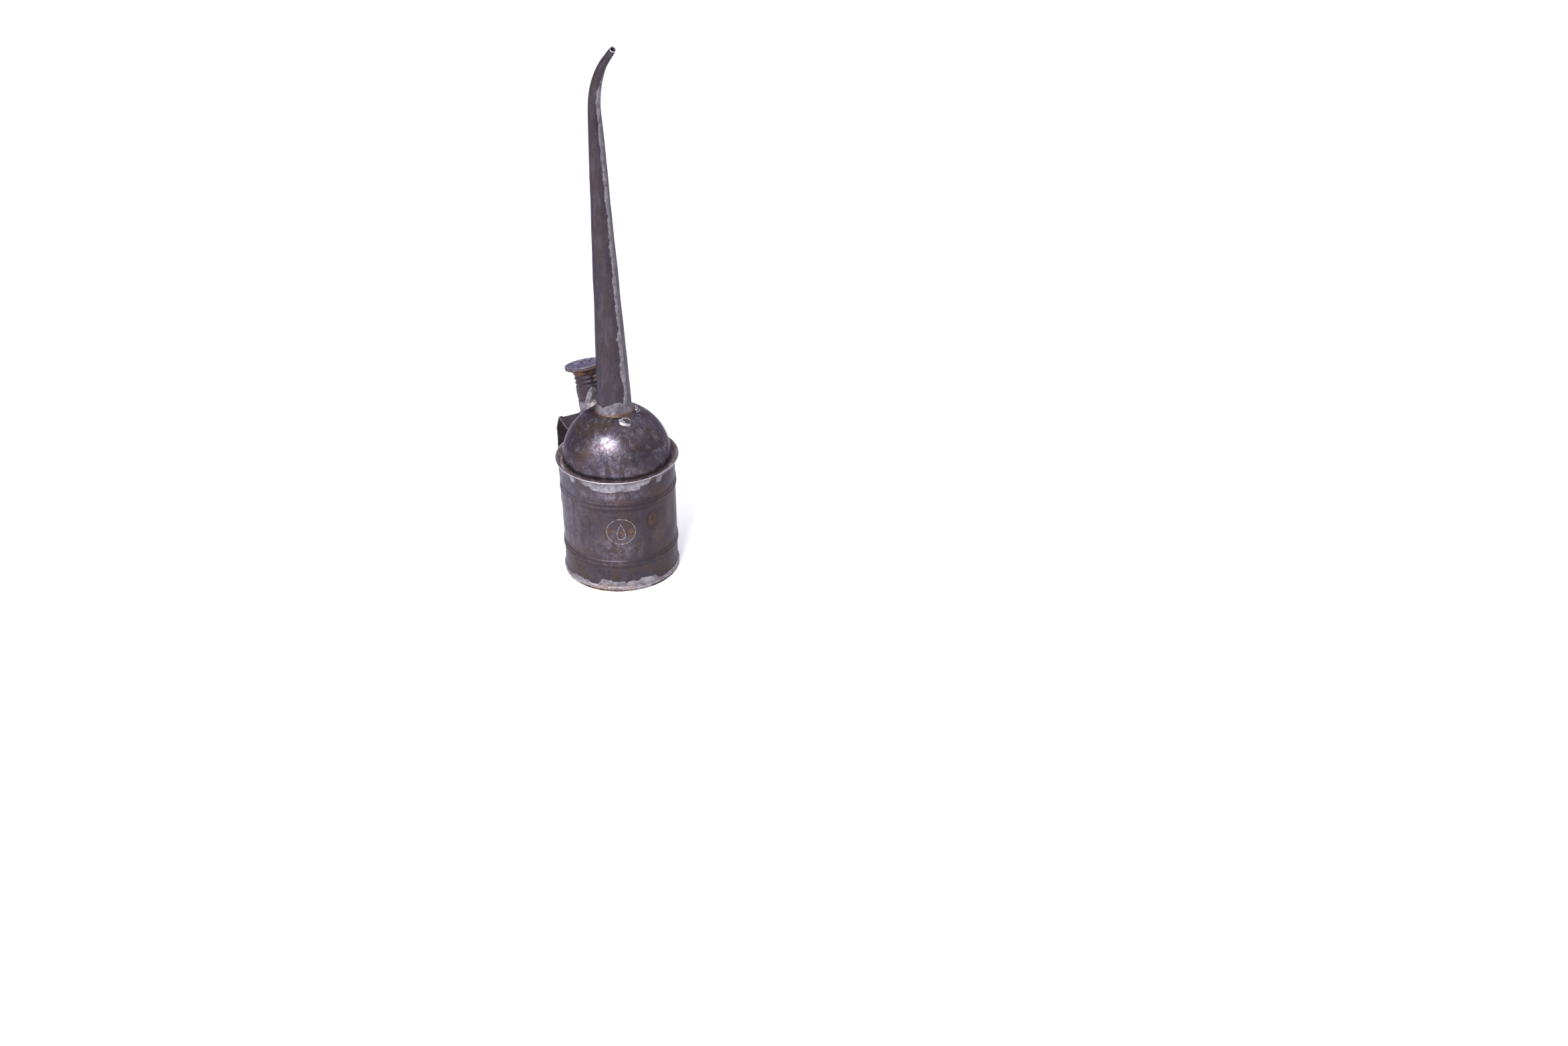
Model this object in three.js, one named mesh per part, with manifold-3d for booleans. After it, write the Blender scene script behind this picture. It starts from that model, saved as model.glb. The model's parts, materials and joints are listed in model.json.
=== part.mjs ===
// A handy oiler can: a soldered sheet-steel cylinder with a domed top, a long tapering spout,
// a tilted filler neck with a screw cap, and a strap handle. Millimetres, +Z up.
// The origin is the centre of the base. The filler neck leans to +Y, and the spout's tip points to -Y.
import * as THREE from 'three';
import { mergeVertices } from 'three/addons/utils/BufferGeometryUtils.js';
import Module from 'manifold-3d';

const wasm = await Module();
wasm.setup();

const gap = 0.3; // between pieces that are soldered or rest on each other
const sheet = 0.7;
const roundSegments = 48;
const tubeSegments = 24;
const spoutSegments = 20;

const base = {
  radius: 42,
  wallHeight: 3.2,
  floor: 0.8,
  wall: 0.5,
  edge: 0.4,
  solderHeight: 2.4,
  solderTop: 0.15,
};
const body = {
  radius: base.radius - base.wall - gap,
  foot: base.floor + gap,
  beadHeights: [23.5, 70],
  beadWidth: 6,
  beadRise: 0.55,
  flareStart: 84.5,
  rimRadius: 44.6,
  rimHeight: 90.8,
};
const bodySeam = { fromBead: 1, thickness: 0.5, width: 6 };
const dome = { radius: 38.9, centreHeight: 90.3, gutterHeight: 85.2, skirtFoot: 79, skirtFillet: 1.5 };
const domeHoles = { spoutLedge: 3, neckLedge: 2.5 };
const gutterSolder = { lift: 0.5, width: 1.7, height: 2.9, clear: 0.35 };
const spout = {
  start: 120,
  lean: THREE.MathUtils.degToRad(1.6),
  straightLength: 218.8,
  bendRadius: 54.4,
  bendAngle: THREE.MathUtils.degToRad(45.8),
  tipLength: 12.8,
  footRadius: 12.4,
  bendStartRadius: 4.45,
  bendMiddleRadius: 3.1,
  tipRadius: 2.15,
  wall: 0.5,
};
const spoutSeam = {
  angle: THREE.MathUtils.degToRad(-88),
  spread: THREE.MathUtils.degToRad(24),
  fromFoot: 16,
  fromTip: 24,
  thickness: 0.4,
};
const footSolder = { overlap: 2, foot: 3.4, middle: 2.2, top: 0.7, middleHeight: 8, height: 11 };
const crescent = {
  centre: [-3.5, -18.1],
  radius: 3.9,
  flattening: 0.75,
  thickness: 0.9,
  opening: [-3.6, 0.2],
};
const neck = {
  reach: 26,
  tilt: THREE.MathUtils.degToRad(14.6),
  radius: 9.8,
  wall: 0.7,
  height: 27.4,
  buried: 7,
};
const neckSolder = { foot: 1.6, middle: 1.2, top: 0.3, middleHeight: 1, height: 8 };
const thread = { pitch: 3.175, depth: 0.7, clearance: 0.35, length: 11.5, fade: 1.5, samplesPerPitch: 5 };
const washer = { radius: 11.4, thickness: 1.2 };
const cap = {
  radius: 14.8,
  rimHeight: 2.8,
  rimWidth: 1.4,
  edge: 0.5,
  dishDepth: 1.6,
  dishRise: 0.35,
  shellLength: 10.5,
  shellBore: 7,
  solderHeight: 1.6,
  solderWidth: 2,
};
const handle = {
  turn: THREE.MathUtils.degToRad(-8.8),
  width: 20,
  strap: 0.8,
  hemWidth: 3,
  hemThickness: 1.6,
  footTopLow: 74.8,
  rootTop: 81.2,
  shoulder: [74, 90.4],
  kink: [79, 79.6],
  heel: [79.6, 13.4],
  rootLow: 12.6,
  footLow: 7.2,
  bendRadii: [1.5, 2, 3, 5, 1.5],
};
const handleSolder = { side: 3, depth: 8, overlap: 1, beyond: 1.2, short: 2, lift: 0.8, above: 2.4 };

const steel = { color: 0x5a5458, roughness: 0.42, metalness: 0.85 };
const tubeSteel = { color: 0x514d52, roughness: 0.38, metalness: 0.85 };
const solder = { color: 0x97959a, roughness: 0.5, metalness: 0.75 };
const fluxedSolder = { color: 0x8b7a5e, roughness: 0.55, metalness: 0.5 };
const rustySteel = { color: 0x6d5138, roughness: 0.6, metalness: 0.6 };
const capSteel = { color: 0x7d7a8a, roughness: 0.3, metalness: 0.9 };
const leather = { color: 0x4a2f1d, roughness: 0.85, metalness: 0 };

const can = new THREE.Group();

function addPiece(parent, name, geometry, finish) {
  const piece = new THREE.Mesh(geometry, new THREE.MeshStandardMaterial(finish));
  piece.name = name;
  parent.add(piece);
  return piece;
}

function toSolid(geometry) {
  const bare = geometry.clone();
  bare.deleteAttribute('normal');
  bare.deleteAttribute('uv');
  const merged = mergeVertices(bare, 1e-4);
  const corners = merged.index.array;
  const kept = [];
  for (let i = 0; i < corners.length; i += 3) {
    const [a, b, c] = corners.slice(i, i + 3);
    if (a !== b && b !== c && c !== a) kept.push(a, b, c);
  }
  return new wasm.Manifold(
    new wasm.Mesh({
      numProp: 3,
      vertProperties: new Float32Array(merged.attributes.position.array),
      triVerts: new Uint32Array(kept),
    }),
  );
}

function toGeometry(solid) {
  const { vertProperties, triVerts } = solid.getMesh();
  const geometry = new THREE.BufferGeometry();
  geometry.setAttribute('position', new THREE.BufferAttribute(vertProperties, 3));
  geometry.setIndex(new THREE.BufferAttribute(triVerts, 1));
  geometry.computeVertexNormals();
  return geometry;
}

function cutAway(geometry, ...tools) {
  const solid = tools.reduce((left, tool) => left.subtract(toSolid(tool)), toSolid(geometry));
  return toGeometry(solid);
}

// Revolves [radius, height] points about Z; the outline runs up the outside and down the inside.
function lathe(profile, segments = roundSegments) {
  const points = profile.map(([radius, height]) => new THREE.Vector2(radius, height));
  return new THREE.LatheGeometry(points, segments).rotateX(Math.PI / 2);
}

function ring(profile, segments) {
  return lathe([...profile, profile[0]], segments);
}

function rod(radius, low, high, segments = tubeSegments) {
  return lathe([[0, low], [radius, low], [radius, high], [0, high]], segments);
}

function warp(geometry, move) {
  const places = geometry.attributes.position;
  const place = new THREE.Vector3();
  for (let i = 0; i < places.count; i += 1) {
    place.fromBufferAttribute(places, i);
    move(place);
    places.setXYZ(i, place.x, place.y, place.z);
  }
  return geometry;
}

// The dome's ball, grown so that what stands on it keeps its gap.
function domeBall(grow) {
  const ball = new THREE.SphereGeometry(dome.radius + grow, roundSegments, roundSegments / 2);
  return ball.rotateX(Math.PI / 2).translate(0, 0, dome.centreHeight);
}

// Body: a rolled wall with two swaged beads and a flared rim.

function wallRadius(height) {
  let radius = body.radius;
  for (const centre of body.beadHeights) {
    const away = Math.abs(height - centre) / (body.beadWidth / 2);
    if (away < 1) radius += (body.beadRise * (1 + Math.cos(Math.PI * away))) / 2;
  }
  const along = (height - body.flareStart) / (body.rimHeight - body.flareStart);
  if (along > 0) radius += (body.rimRadius - body.radius) * along ** 2;
  return radius;
}

function makeBody() {
  const beadSteps = [-1, -0.4, 0.4, 1];
  const flareSteps = [0, 0.35, 0.7, 1];
  const heights = [body.foot];
  for (const centre of body.beadHeights) {
    for (const step of beadSteps) heights.push(centre + (step * body.beadWidth) / 2);
  }
  for (const step of flareSteps) {
    heights.push(body.flareStart + step * (body.rimHeight - body.flareStart));
  }
  const outside = heights.map((height) => [wallRadius(height), height]);
  const inside = outside.map(([radius, height]) => [radius - sheet, height]).reverse();
  addPiece(can, 'body_shell', ring([...outside, ...inside]), steel);
}

// The lap of the body's sheet is soldered down its back, between the beads.
function makeBodySeam() {
  const [lowBead, highBead] = body.beadHeights;
  const low = lowBead + body.beadWidth / 2 + bodySeam.fromBead;
  const high = highBead - body.beadWidth / 2 - bodySeam.fromBead;
  const inner = body.radius + gap;
  const outer = inner + bodySeam.thickness;
  const band = ring([[outer, low], [outer, high], [inner, high], [inner, low]]);
  const seamSlot = new THREE.BoxGeometry(bodySeam.width, base.radius, body.rimHeight);
  seamSlot.translate(0, base.radius, body.rimHeight / 2);
  addPiece(handleGroup, 'body_seam_solder', toGeometry(toSolid(band).intersect(toSolid(seamSlot))), solder);
}

// Base: a flat pan whose wall stands up around the foot of the body.

function makeBase() {
  const bore = base.radius - base.wall;
  const pan = [
    [0, 0],
    [base.radius - base.edge, 0],
    [base.radius, base.edge],
    [base.radius, base.wallHeight],
    [bore, base.wallHeight],
    [bore, base.floor],
    [0, base.floor],
  ];
  addPiece(can, 'base_pan', lathe(pan), steel);

  const filletLow = base.wallHeight + gap;
  const filletTop = filletLow + base.solderHeight;
  const fillet = [
    [base.radius, filletLow],
    [bore + base.solderTop, filletTop],
    [bore, filletTop],
    [bore, filletLow],
  ];
  addPiece(can, 'base_solder', ring(fillet), solder);
}

// Dome: a half ball whose skirt steps out to slip inside the body, leaving a gutter at the rim.

function domeOutline(inset) {
  const radius = dome.radius - inset;
  const skirt = body.radius - sheet - gap - inset;
  const points = [
    [skirt, dome.skirtFoot],
    [skirt, dome.gutterHeight - inset],
    [radius, dome.gutterHeight + dome.skirtFillet - inset],
  ];
  const steps = 8;
  for (let i = 0; i <= steps; i += 1) {
    const angle = (i / steps) * (Math.PI / 2);
    points.push([radius * Math.cos(angle), dome.centreHeight + radius * Math.sin(angle)]);
  }
  points[points.length - 1][0] = 0;
  return points;
}

function makeDome() {
  const shell = ring([...domeOutline(0), ...domeOutline(sheet).reverse()]);
  const spoutHole = rod(spout.footRadius - domeHoles.spoutLedge, dome.centreHeight, 2 * dome.centreHeight);
  const neckHole = rod(neck.radius - domeHoles.neckLedge, -neckLength - neck.buried, 0);
  neckHole.applyMatrix4(neckMatrix);
  const domeShell = toSolid(shell).subtract(toSolid(spoutHole)).subtract(toSolid(neckHole));
  addPiece(can, 'dome_top', toGeometry(domeShell), steel);

  const low = dome.gutterHeight + gutterSolder.lift;
  const outer = dome.radius + gutterSolder.width;
  const inner = dome.radius + gutterSolder.clear;
  const bead = [
    [outer - 0.3, low],
    [outer, low + 0.6],
    [outer, low + 1.6],
    [inner, low + gutterSolder.height],
    [inner, low + 1.3],
  ];
  addPiece(can, 'dome_solder', ring(bead), fluxedSolder);
}

// Spout: a tapering tube along a line, an arc and a line, all in the YZ plane.

const spoutLength = spout.straightLength + spout.bendRadius * spout.bendAngle + spout.tipLength;

// The place on the spout's centre line and its tilt from +Z towards -Y.
function spoutPlace(along) {
  const bendLength = spout.bendRadius * spout.bendAngle;
  const straight = Math.min(along, spout.straightLength);
  const turn = THREE.MathUtils.clamp((along - straight) / spout.bendRadius, 0, spout.bendAngle);
  const tip = Math.max(along - spout.straightLength - bendLength, 0);
  const tilt = turn - spout.lean;
  const forward =
    -straight * Math.sin(spout.lean) +
    spout.bendRadius * (Math.cos(spout.lean) - Math.cos(tilt)) +
    tip * Math.sin(tilt);
  const up =
    straight * Math.cos(spout.lean) +
    spout.bendRadius * (Math.sin(tilt) + Math.sin(spout.lean)) +
    tip * Math.cos(tilt);
  return { y: -forward, z: spout.start + up, tilt };
}

function spoutRadius(along) {
  if (along < spout.straightLength) {
    return THREE.MathUtils.lerp(spout.footRadius, spout.bendStartRadius, along / spout.straightLength);
  }
  const share = (2 * (along - spout.straightLength)) / (spoutLength - spout.straightLength);
  if (share < 1) return THREE.MathUtils.lerp(spout.bendStartRadius, spout.bendMiddleRadius, share);
  return THREE.MathUtils.lerp(spout.bendMiddleRadius, spout.tipRadius, share - 1);
}

function alongSpout(geometry) {
  return warp(geometry, (place) => {
    const centre = spoutPlace(place.z);
    const back = place.y;
    place.y = centre.y + back * Math.cos(centre.tilt);
    place.z = centre.z + back * Math.sin(centre.tilt);
  });
}

function spoutStations() {
  const bendSteps = 9;
  const stations = [0, 0.25, 0.5, 0.75].map((share) => share * spout.straightLength);
  for (let i = 0; i <= bendSteps; i += 1) {
    stations.push(spout.straightLength + (i / bendSteps) * spout.bendRadius * spout.bendAngle);
  }
  stations.push(spoutLength);
  return stations;
}

function makeSpout() {
  const stations = spoutStations();
  const outside = stations.map((along) => [spoutRadius(along), along]);
  const inside = outside.map(([radius, along]) => [radius - spout.wall, along]).reverse();
  const tube = alongSpout(ring([...outside, ...inside], spoutSegments));
  addPiece(can, 'spout_tube', cutAway(tube, domeBall(gap)), tubeSteel);

  const seamEnd = spoutLength - spoutSeam.fromTip;
  const seamLength = seamEnd - spoutSeam.fromFoot;
  const seam = new THREE.BoxGeometry(spoutSeam.spread, spoutSeam.thickness, seamLength, 2, 1, 20);
  warp(seam, (place) => {
    const along = place.z + (spoutSeam.fromFoot + seamEnd) / 2;
    const radius = spoutRadius(along) + gap + spoutSeam.thickness / 2 + place.y;
    const angle = spoutSeam.angle + place.x;
    place.set(radius * Math.cos(angle), radius * Math.sin(angle), along);
  });
  addPiece(can, 'spout_seam_solder', alongSpout(turnInsideOut(seam)), solder);

  const footTop = spout.start + footSolder.height;
  const footFillet = [
    [spout.footRadius - footSolder.overlap, spout.start],
    [spout.footRadius + footSolder.foot, spout.start],
    [spout.footRadius + footSolder.middle, spout.start + footSolder.middleHeight],
    [spout.footRadius + footSolder.top, footTop],
    [spout.footRadius - footSolder.overlap, footTop],
  ];
  const grownSpout = alongSpout(rodThrough(stations.map((along) => [spoutRadius(along) + gap, along])));
  const fillet = cutAway(ring(footFillet, spoutSegments), domeBall(gap), grownSpout);
  addPiece(can, 'spout_base_solder', fillet, fluxedSolder);
}

function rodThrough(profile) {
  const [, low] = profile[0];
  const [, high] = profile[profile.length - 1];
  return lathe([[0, low], ...profile, [0, high]], spoutSegments);
}

// A box wrapped round the tube comes out with its faces pointing in.
function turnInsideOut(geometry) {
  const corners = geometry.index.array;
  for (let i = 0; i < corners.length; i += 3) {
    [corners[i], corners[i + 1]] = [corners[i + 1], corners[i]];
  }
  geometry.computeVertexNormals();
  return geometry;
}

// A crescent of solder run out on the dome in front of the spout.
function makeCrescent() {
  const { centre, radius, flattening, thickness, opening } = crescent;
  const ball = dome.radius + thickness + 1.3 * gap;
  const steps = 8;
  const points = Array.from({ length: steps + 1 }, (_, i) => {
    const angle = THREE.MathUtils.lerp(opening[0], opening[1], i / steps);
    const x = centre[0] + radius * Math.cos(angle);
    const y = centre[1] + radius * flattening * Math.sin(angle);
    return new THREE.Vector3(x, y, dome.centreHeight + Math.sqrt(ball ** 2 - x ** 2 - y ** 2));
  });
  const section = new THREE.Shape(new THREE.EllipseCurve(0, 0, thickness, thickness).getPoints(steps));
  const extrudePath = new THREE.CatmullRomCurve3(points);
  const run = new THREE.ExtrudeGeometry(section, { steps: 2 * steps, bevelEnabled: false, extrudePath });
  addPiece(can, 'spout_solder_crescent', run, solder);
}

const neckLength = neck.height + neck.buried;

// Filler neck: a tube with a thread rolled into its upper end, tilted back from the spout.
// Its own frame has the mouth at the origin and +Z out of the neck.

const neckRise = Math.sqrt(dome.radius ** 2 - neck.reach ** 2);
const neckRoot = new THREE.Vector3(0, neck.reach, dome.centreHeight + neckRise);
const neckGroup = new THREE.Group();
neckGroup.rotation.x = -neck.tilt;
neckGroup.position.copy(neckRoot);
neckGroup.translateZ(neck.height);
neckGroup.updateMatrix();
const neckMatrix = neckGroup.matrix.clone();
can.add(neckGroup);

// The thread's wave, 0 at a crest and 1 at a root, and its share of full depth at a height.
function threadWave(place) {
  const phase = place.z / thread.pitch - Math.atan2(place.y, place.x) / (2 * Math.PI);
  return (1 - Math.cos(2 * Math.PI * phase)) / 2;
}

function threadShare(height, top, bottom) {
  const inside = Math.min(top - height, height - bottom) / thread.fade;
  return THREE.MathUtils.clamp(inside, 0, 1);
}

function threadStations(low, high) {
  const count = Math.round(((high - low) / thread.pitch) * thread.samplesPerPitch);
  return Array.from({ length: count + 1 }, (_, i) => low + ((high - low) * i) / count);
}

function moveRadially(place, distance) {
  const radius = Math.hypot(place.x, place.y);
  const scale = (radius + distance) / radius;
  place.x *= scale;
  place.y *= scale;
}

function makeNeck() {
  const heights = [-neckLength, ...threadStations(-thread.length, 0)];
  const outside = heights.map((height) => [neck.radius, height]);
  const inside = heights.map((height) => [neck.radius - neck.wall, height]).reverse();
  const tube = warp(ring([...outside, ...inside], tubeSegments), (place) => {
    const share = threadShare(place.z, 0, -thread.length);
    moveRadially(place, -thread.depth * share * threadWave(place));
  });
  const ballHere = domeBall(gap).applyMatrix4(neckMatrix.clone().invert());
  addPiece(neckGroup, 'filler_neck', cutAway(tube, ballHere), rustySteel);

  const inner = neck.radius + gap;
  const solderTop = neckSolder.height - neck.height;
  const fillet = ring(
    [
      [inner + neckSolder.foot, -neckLength],
      [inner + neckSolder.middle, neckSolder.middleHeight - neck.height],
      [inner + neckSolder.top, solderTop],
      [inner, solderTop],
      [inner, -neckLength],
    ],
    tubeSegments,
  );
  const clear = footSolder.foot + 3 * gap;
  const spoutHere = rodThrough(spoutStations().map((along) => [spoutRadius(along) + clear, along]));
  alongSpout(spoutHere).applyMatrix4(neckMatrix.clone().invert());
  addPiece(neckGroup, 'neck_solder', cutAway(fillet, ballHere, spoutHere), solder);
}

// Cap: a dished disc over a threaded shell, with a washer under it.

function makeCap() {
  const washerTop = gap + washer.thickness;
  const shellCrest = neck.radius - neck.wall - thread.clearance;
  const shellRoot = shellCrest - thread.depth;
  const washerBore = shellCrest + gap;
  const packing = [
    [washer.radius, gap],
    [washer.radius, washerTop],
    [washerBore, washerTop],
    [washerBore, gap],
  ];
  addPiece(neckGroup, 'cap_washer', ring(packing, tubeSegments), leather);

  const under = washerTop + gap;
  const rimTop = under + cap.rimHeight;
  const dish = rimTop - cap.dishDepth;
  const disc = [
    [0, under],
    [cap.radius - cap.edge, under],
    [cap.radius, under + cap.edge],
    [cap.radius, rimTop - cap.edge],
    [cap.radius - cap.edge, rimTop],
    [cap.radius - cap.rimWidth, rimTop],
    [cap.radius * 0.7, dish + cap.dishRise],
    [cap.radius * 0.4, dish],
    [0, dish],
  ];
  addPiece(neckGroup, 'filler_cap', lathe(disc), capSteel);

  const shellTop = under - gap;
  const shellFoot = shellTop - cap.shellLength;
  const heights = [...threadStations(shellFoot, 0), shellTop];
  const outside = heights.map((height) => [shellRoot, height]);
  const inside = [[cap.shellBore, shellTop], [cap.shellBore, shellFoot]];
  const shell = warp(ring([...outside, ...inside], tubeSegments), (place) => {
    const onBore = Math.hypot(place.x, place.y) < (cap.shellBore + shellRoot) / 2;
    const share = threadShare(place.z, 0, shellFoot);
    if (!onBore) moveRadially(place, thread.depth * share * (1 - threadWave(place)));
  });
  addPiece(neckGroup, 'cap_screw_shell', shell, rustySteel);

  const jointOut = cap.shellBore - gap;
  const jointLow = shellTop - cap.solderHeight;
  const joint = [
    [jointOut, jointLow],
    [jointOut, shellTop],
    [jointOut - cap.solderWidth, shellTop],
    [jointOut - cap.solderWidth / 5, jointLow],
  ];
  addPiece(neckGroup, 'cap_shell_solder', ring(joint, tubeSegments), solder);
}

// Handle: a strap with hemmed edges, bent to shape and soldered to the body by a foot at each end.

const handleGroup = new THREE.Group();
handleGroup.rotation.z = handle.turn;
can.add(handleGroup);

function handleLine() {
  const wall = body.radius + gap + handle.strap / 2;
  const corners = [
    [wall, handle.footTopLow],
    [wall, handle.rootTop],
    handle.shoulder,
    handle.kink,
    handle.heel,
    [wall, handle.rootLow],
    [wall, handle.footLow],
  ].map(([y, z]) => new THREE.Vector2(y, z));
  const line = [corners[0]];
  for (let i = 1; i < corners.length - 1; i += 1) {
    line.push(...roundCorner(corners[i - 1], corners[i], corners[i + 1], handle.bendRadii[i - 1]));
  }
  line.push(corners[corners.length - 1]);
  return line;
}

function roundCorner(before, corner, after, radius) {
  const back = before.clone().sub(corner).normalize();
  const on = after.clone().sub(corner).normalize();
  const halfAngle = Math.acos(THREE.MathUtils.clamp(back.dot(on), -1, 1)) / 2;
  const centre = back.clone().add(on).normalize().multiplyScalar(radius / Math.sin(halfAngle)).add(corner);
  const start = back.multiplyScalar(radius / Math.tan(halfAngle)).add(corner).sub(centre);
  const end = on.multiplyScalar(radius / Math.tan(halfAngle)).add(corner).sub(centre);
  const sweep = Math.atan2(start.cross(end), start.dot(end));
  const steps = 4;
  return Array.from({ length: steps + 1 }, (_, i) =>
    start.clone().rotateAround(new THREE.Vector2(), (sweep * i) / steps).add(centre),
  );
}

// Lays the handle's line out as a strip from one x to another, with offsets to either side of it.
function strip(line, outward, inward, fromX, toX) {
  const normals = line.map((_, i) => {
    const before = line[Math.max(i - 1, 0)];
    const after = line[Math.min(i + 1, line.length - 1)];
    const way = after.clone().sub(before).normalize();
    return new THREE.Vector2(-way.y, way.x);
  });
  const side = (offset) => line.map((point, i) => point.clone().addScaledVector(normals[i], offset));
  const outline = new THREE.Shape([...side(outward), ...side(-inward).reverse()]);
  const flat = new THREE.ExtrudeGeometry(outline, { depth: toX - fromX, bevelEnabled: false });
  flat.translate(0, 0, fromX);
  return flat.applyMatrix4(new THREE.Matrix4().set(0, 0, 1, 0, 1, 0, 0, 0, 0, 1, 0, 0, 0, 0, 0, 1));
}

function makeHandle() {
  const line = handleLine();
  const half = handle.width / 2;
  const thin = handle.strap / 2;
  const hem = handle.hemThickness - thin;
  const hemStart = half - handle.hemWidth;
  const strap = toSolid(strip(line, thin, thin, -half, half))
    .add(toSolid(strip(line, hem, thin, -half, -hemStart)))
    .add(toSolid(strip(line, hem, thin, hemStart, half)));
  const wall = rod(body.radius + gap, 0, body.flareStart, roundSegments);
  addPiece(handleGroup, 'handle_strap', toGeometry(strap.subtract(toSolid(wall))), tubeSteel);

  const grownStrap = strip(line, hem + gap, thin + gap, -half - gap, half + gap);
  const fillets = {
    handle_top_solder: [handle.footTopLow - handleSolder.beyond, handle.rootTop - handleSolder.short],
    handle_bottom_solder: [handle.footLow + handleSolder.lift, handle.rootLow + handleSolder.above],
  };
  for (const [name, [low, high]] of Object.entries(fillets)) {
    const block = new THREE.BoxGeometry(handle.width + 2 * handleSolder.side, handleSolder.depth, high - low);
    block.translate(0, body.radius - handleSolder.overlap, (low + high) / 2);
    addPiece(handleGroup, name, cutAway(block, wall, grownStrap), solder);
  }
}

makeBody();
makeBodySeam();
makeBase();
makeDome();
makeSpout();
makeCrescent();
makeNeck();
makeCap();
makeHandle();

export default can;
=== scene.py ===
import json
import math

import bmesh
import bpy
import numpy as np
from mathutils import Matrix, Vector, noise


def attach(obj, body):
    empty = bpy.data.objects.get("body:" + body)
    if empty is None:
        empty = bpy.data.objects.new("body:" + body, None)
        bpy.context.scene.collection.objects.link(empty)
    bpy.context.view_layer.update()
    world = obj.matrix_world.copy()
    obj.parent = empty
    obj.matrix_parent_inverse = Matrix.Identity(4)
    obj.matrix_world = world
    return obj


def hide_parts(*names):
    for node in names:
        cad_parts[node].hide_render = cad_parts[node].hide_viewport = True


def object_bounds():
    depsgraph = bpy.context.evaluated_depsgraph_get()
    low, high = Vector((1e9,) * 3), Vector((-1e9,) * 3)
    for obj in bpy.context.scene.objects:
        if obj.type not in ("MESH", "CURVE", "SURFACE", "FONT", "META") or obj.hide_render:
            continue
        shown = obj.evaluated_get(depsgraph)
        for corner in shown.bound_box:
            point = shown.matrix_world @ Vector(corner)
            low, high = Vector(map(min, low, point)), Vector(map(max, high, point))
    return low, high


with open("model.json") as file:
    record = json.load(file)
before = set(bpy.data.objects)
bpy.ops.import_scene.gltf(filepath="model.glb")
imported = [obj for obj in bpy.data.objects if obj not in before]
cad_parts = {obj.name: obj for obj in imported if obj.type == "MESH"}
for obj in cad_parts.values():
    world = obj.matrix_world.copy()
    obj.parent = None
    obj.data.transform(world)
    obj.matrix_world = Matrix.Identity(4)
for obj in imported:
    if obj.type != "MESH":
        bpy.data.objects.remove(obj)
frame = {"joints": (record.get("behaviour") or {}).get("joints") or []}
cadLow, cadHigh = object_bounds()
print("frame loaded")

mm = 0.001  # shapes are worked out in millimetres and turned into metres as a mesh is made


# Helpers for shapes: numbers and noise

def ease(t):
    t = np.clip(t, 0.0, 1.0)
    return t * t * (3 - 2 * t)


def rise(value, low, high):
    return ease((np.asarray(value, float) - low) / (high - low))


def hump(value, centre, width):
    return np.exp(-(((np.asarray(value, float) - centre) / width) ** 2))


def turnGap(angle, centre):
    return (np.asarray(angle, float) - centre + math.pi) % (2 * math.pi) - math.pi


def degreesFrom(angle, azimuth):
    return np.degrees(turnGap(angle, math.radians(azimuth)))


# 1 along part of a ring and 0 past it, with its two ends softened over so many degrees.
def stretch(place, start, end, soft):
    gap = (place - start) % 360
    return rise(gap, 0, soft) * (1 - rise(gap, end - start - soft, end - start)) * (gap < end - start)


# Noise from about -0.5 to 0.5 whose blobs are so many millimetres across.
def ripple(points, size, seed=0.0):
    points = np.asarray(points, float)
    flat = points.reshape(-1, 3) / size + np.array([seed, 1.7 * seed, -seed])
    return np.array([noise.noise(Vector(p)) for p in flat]).reshape(points.shape[:-1])


# The same for a line, such as a ragged edge: fine teeth on slower waves.
def ragged(along, size, seed):
    along = np.asarray(along, float)
    total = np.zeros(along.shape)
    for octave, share in enumerate((0.6, 0.3, 0.2, 0.12)):
        step = size / 2**octave
        places = np.stack([along / step, along * 0 + seed, along * 0 + octave * 3.7], axis=-1)
        total += share * ripple(places, 1.0)
    return total


def spaced(*spans):
    rows = [np.arange(low, high - 1e-6, step) for low, high, step in spans]
    return np.concatenate(rows + [[spans[-1][1]]])


def stack(x, y, z):
    return np.stack(np.broadcast_arrays(x, y, z), axis=-1)


def circle(count):
    return np.linspace(0, 2 * math.pi, count, endpoint=False)


# A profile's radii and heights, repeated at each angle.
def revolved(profile, angle):
    return [np.repeat(profile[:, i:i + 1], angle.size, axis=1) for i in (0, 1)]


# 1 on the first rows, which are the outside of a sheet, and 0 on the rest.
def outside(rows, outer):
    return (np.arange(rows) < outer).astype(float)[:, None]


def turned(radius, angle, z):
    return stack(radius * np.cos(angle), radius * np.sin(angle), z)


def arc(centre, radius, start, end, steps=6):
    turns = np.radians(np.linspace(start, end, steps))
    return [(centre[0] + radius * math.cos(t), centre[1] + radius * math.sin(t)) for t in turns]


# Adds points along an outline until no step is longer than the given one.
def finer(outline, step):
    made = [outline[0]]
    for a, b in zip(outline, outline[1:]):
        count = max(1, math.ceil(math.dist(a, b) / step))
        made += [tuple(np.add(a, np.subtract(b, a) * (i + 1) / count)) for i in range(count)]
    return np.array(made)


# Helpers for shapes: meshes

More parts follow.
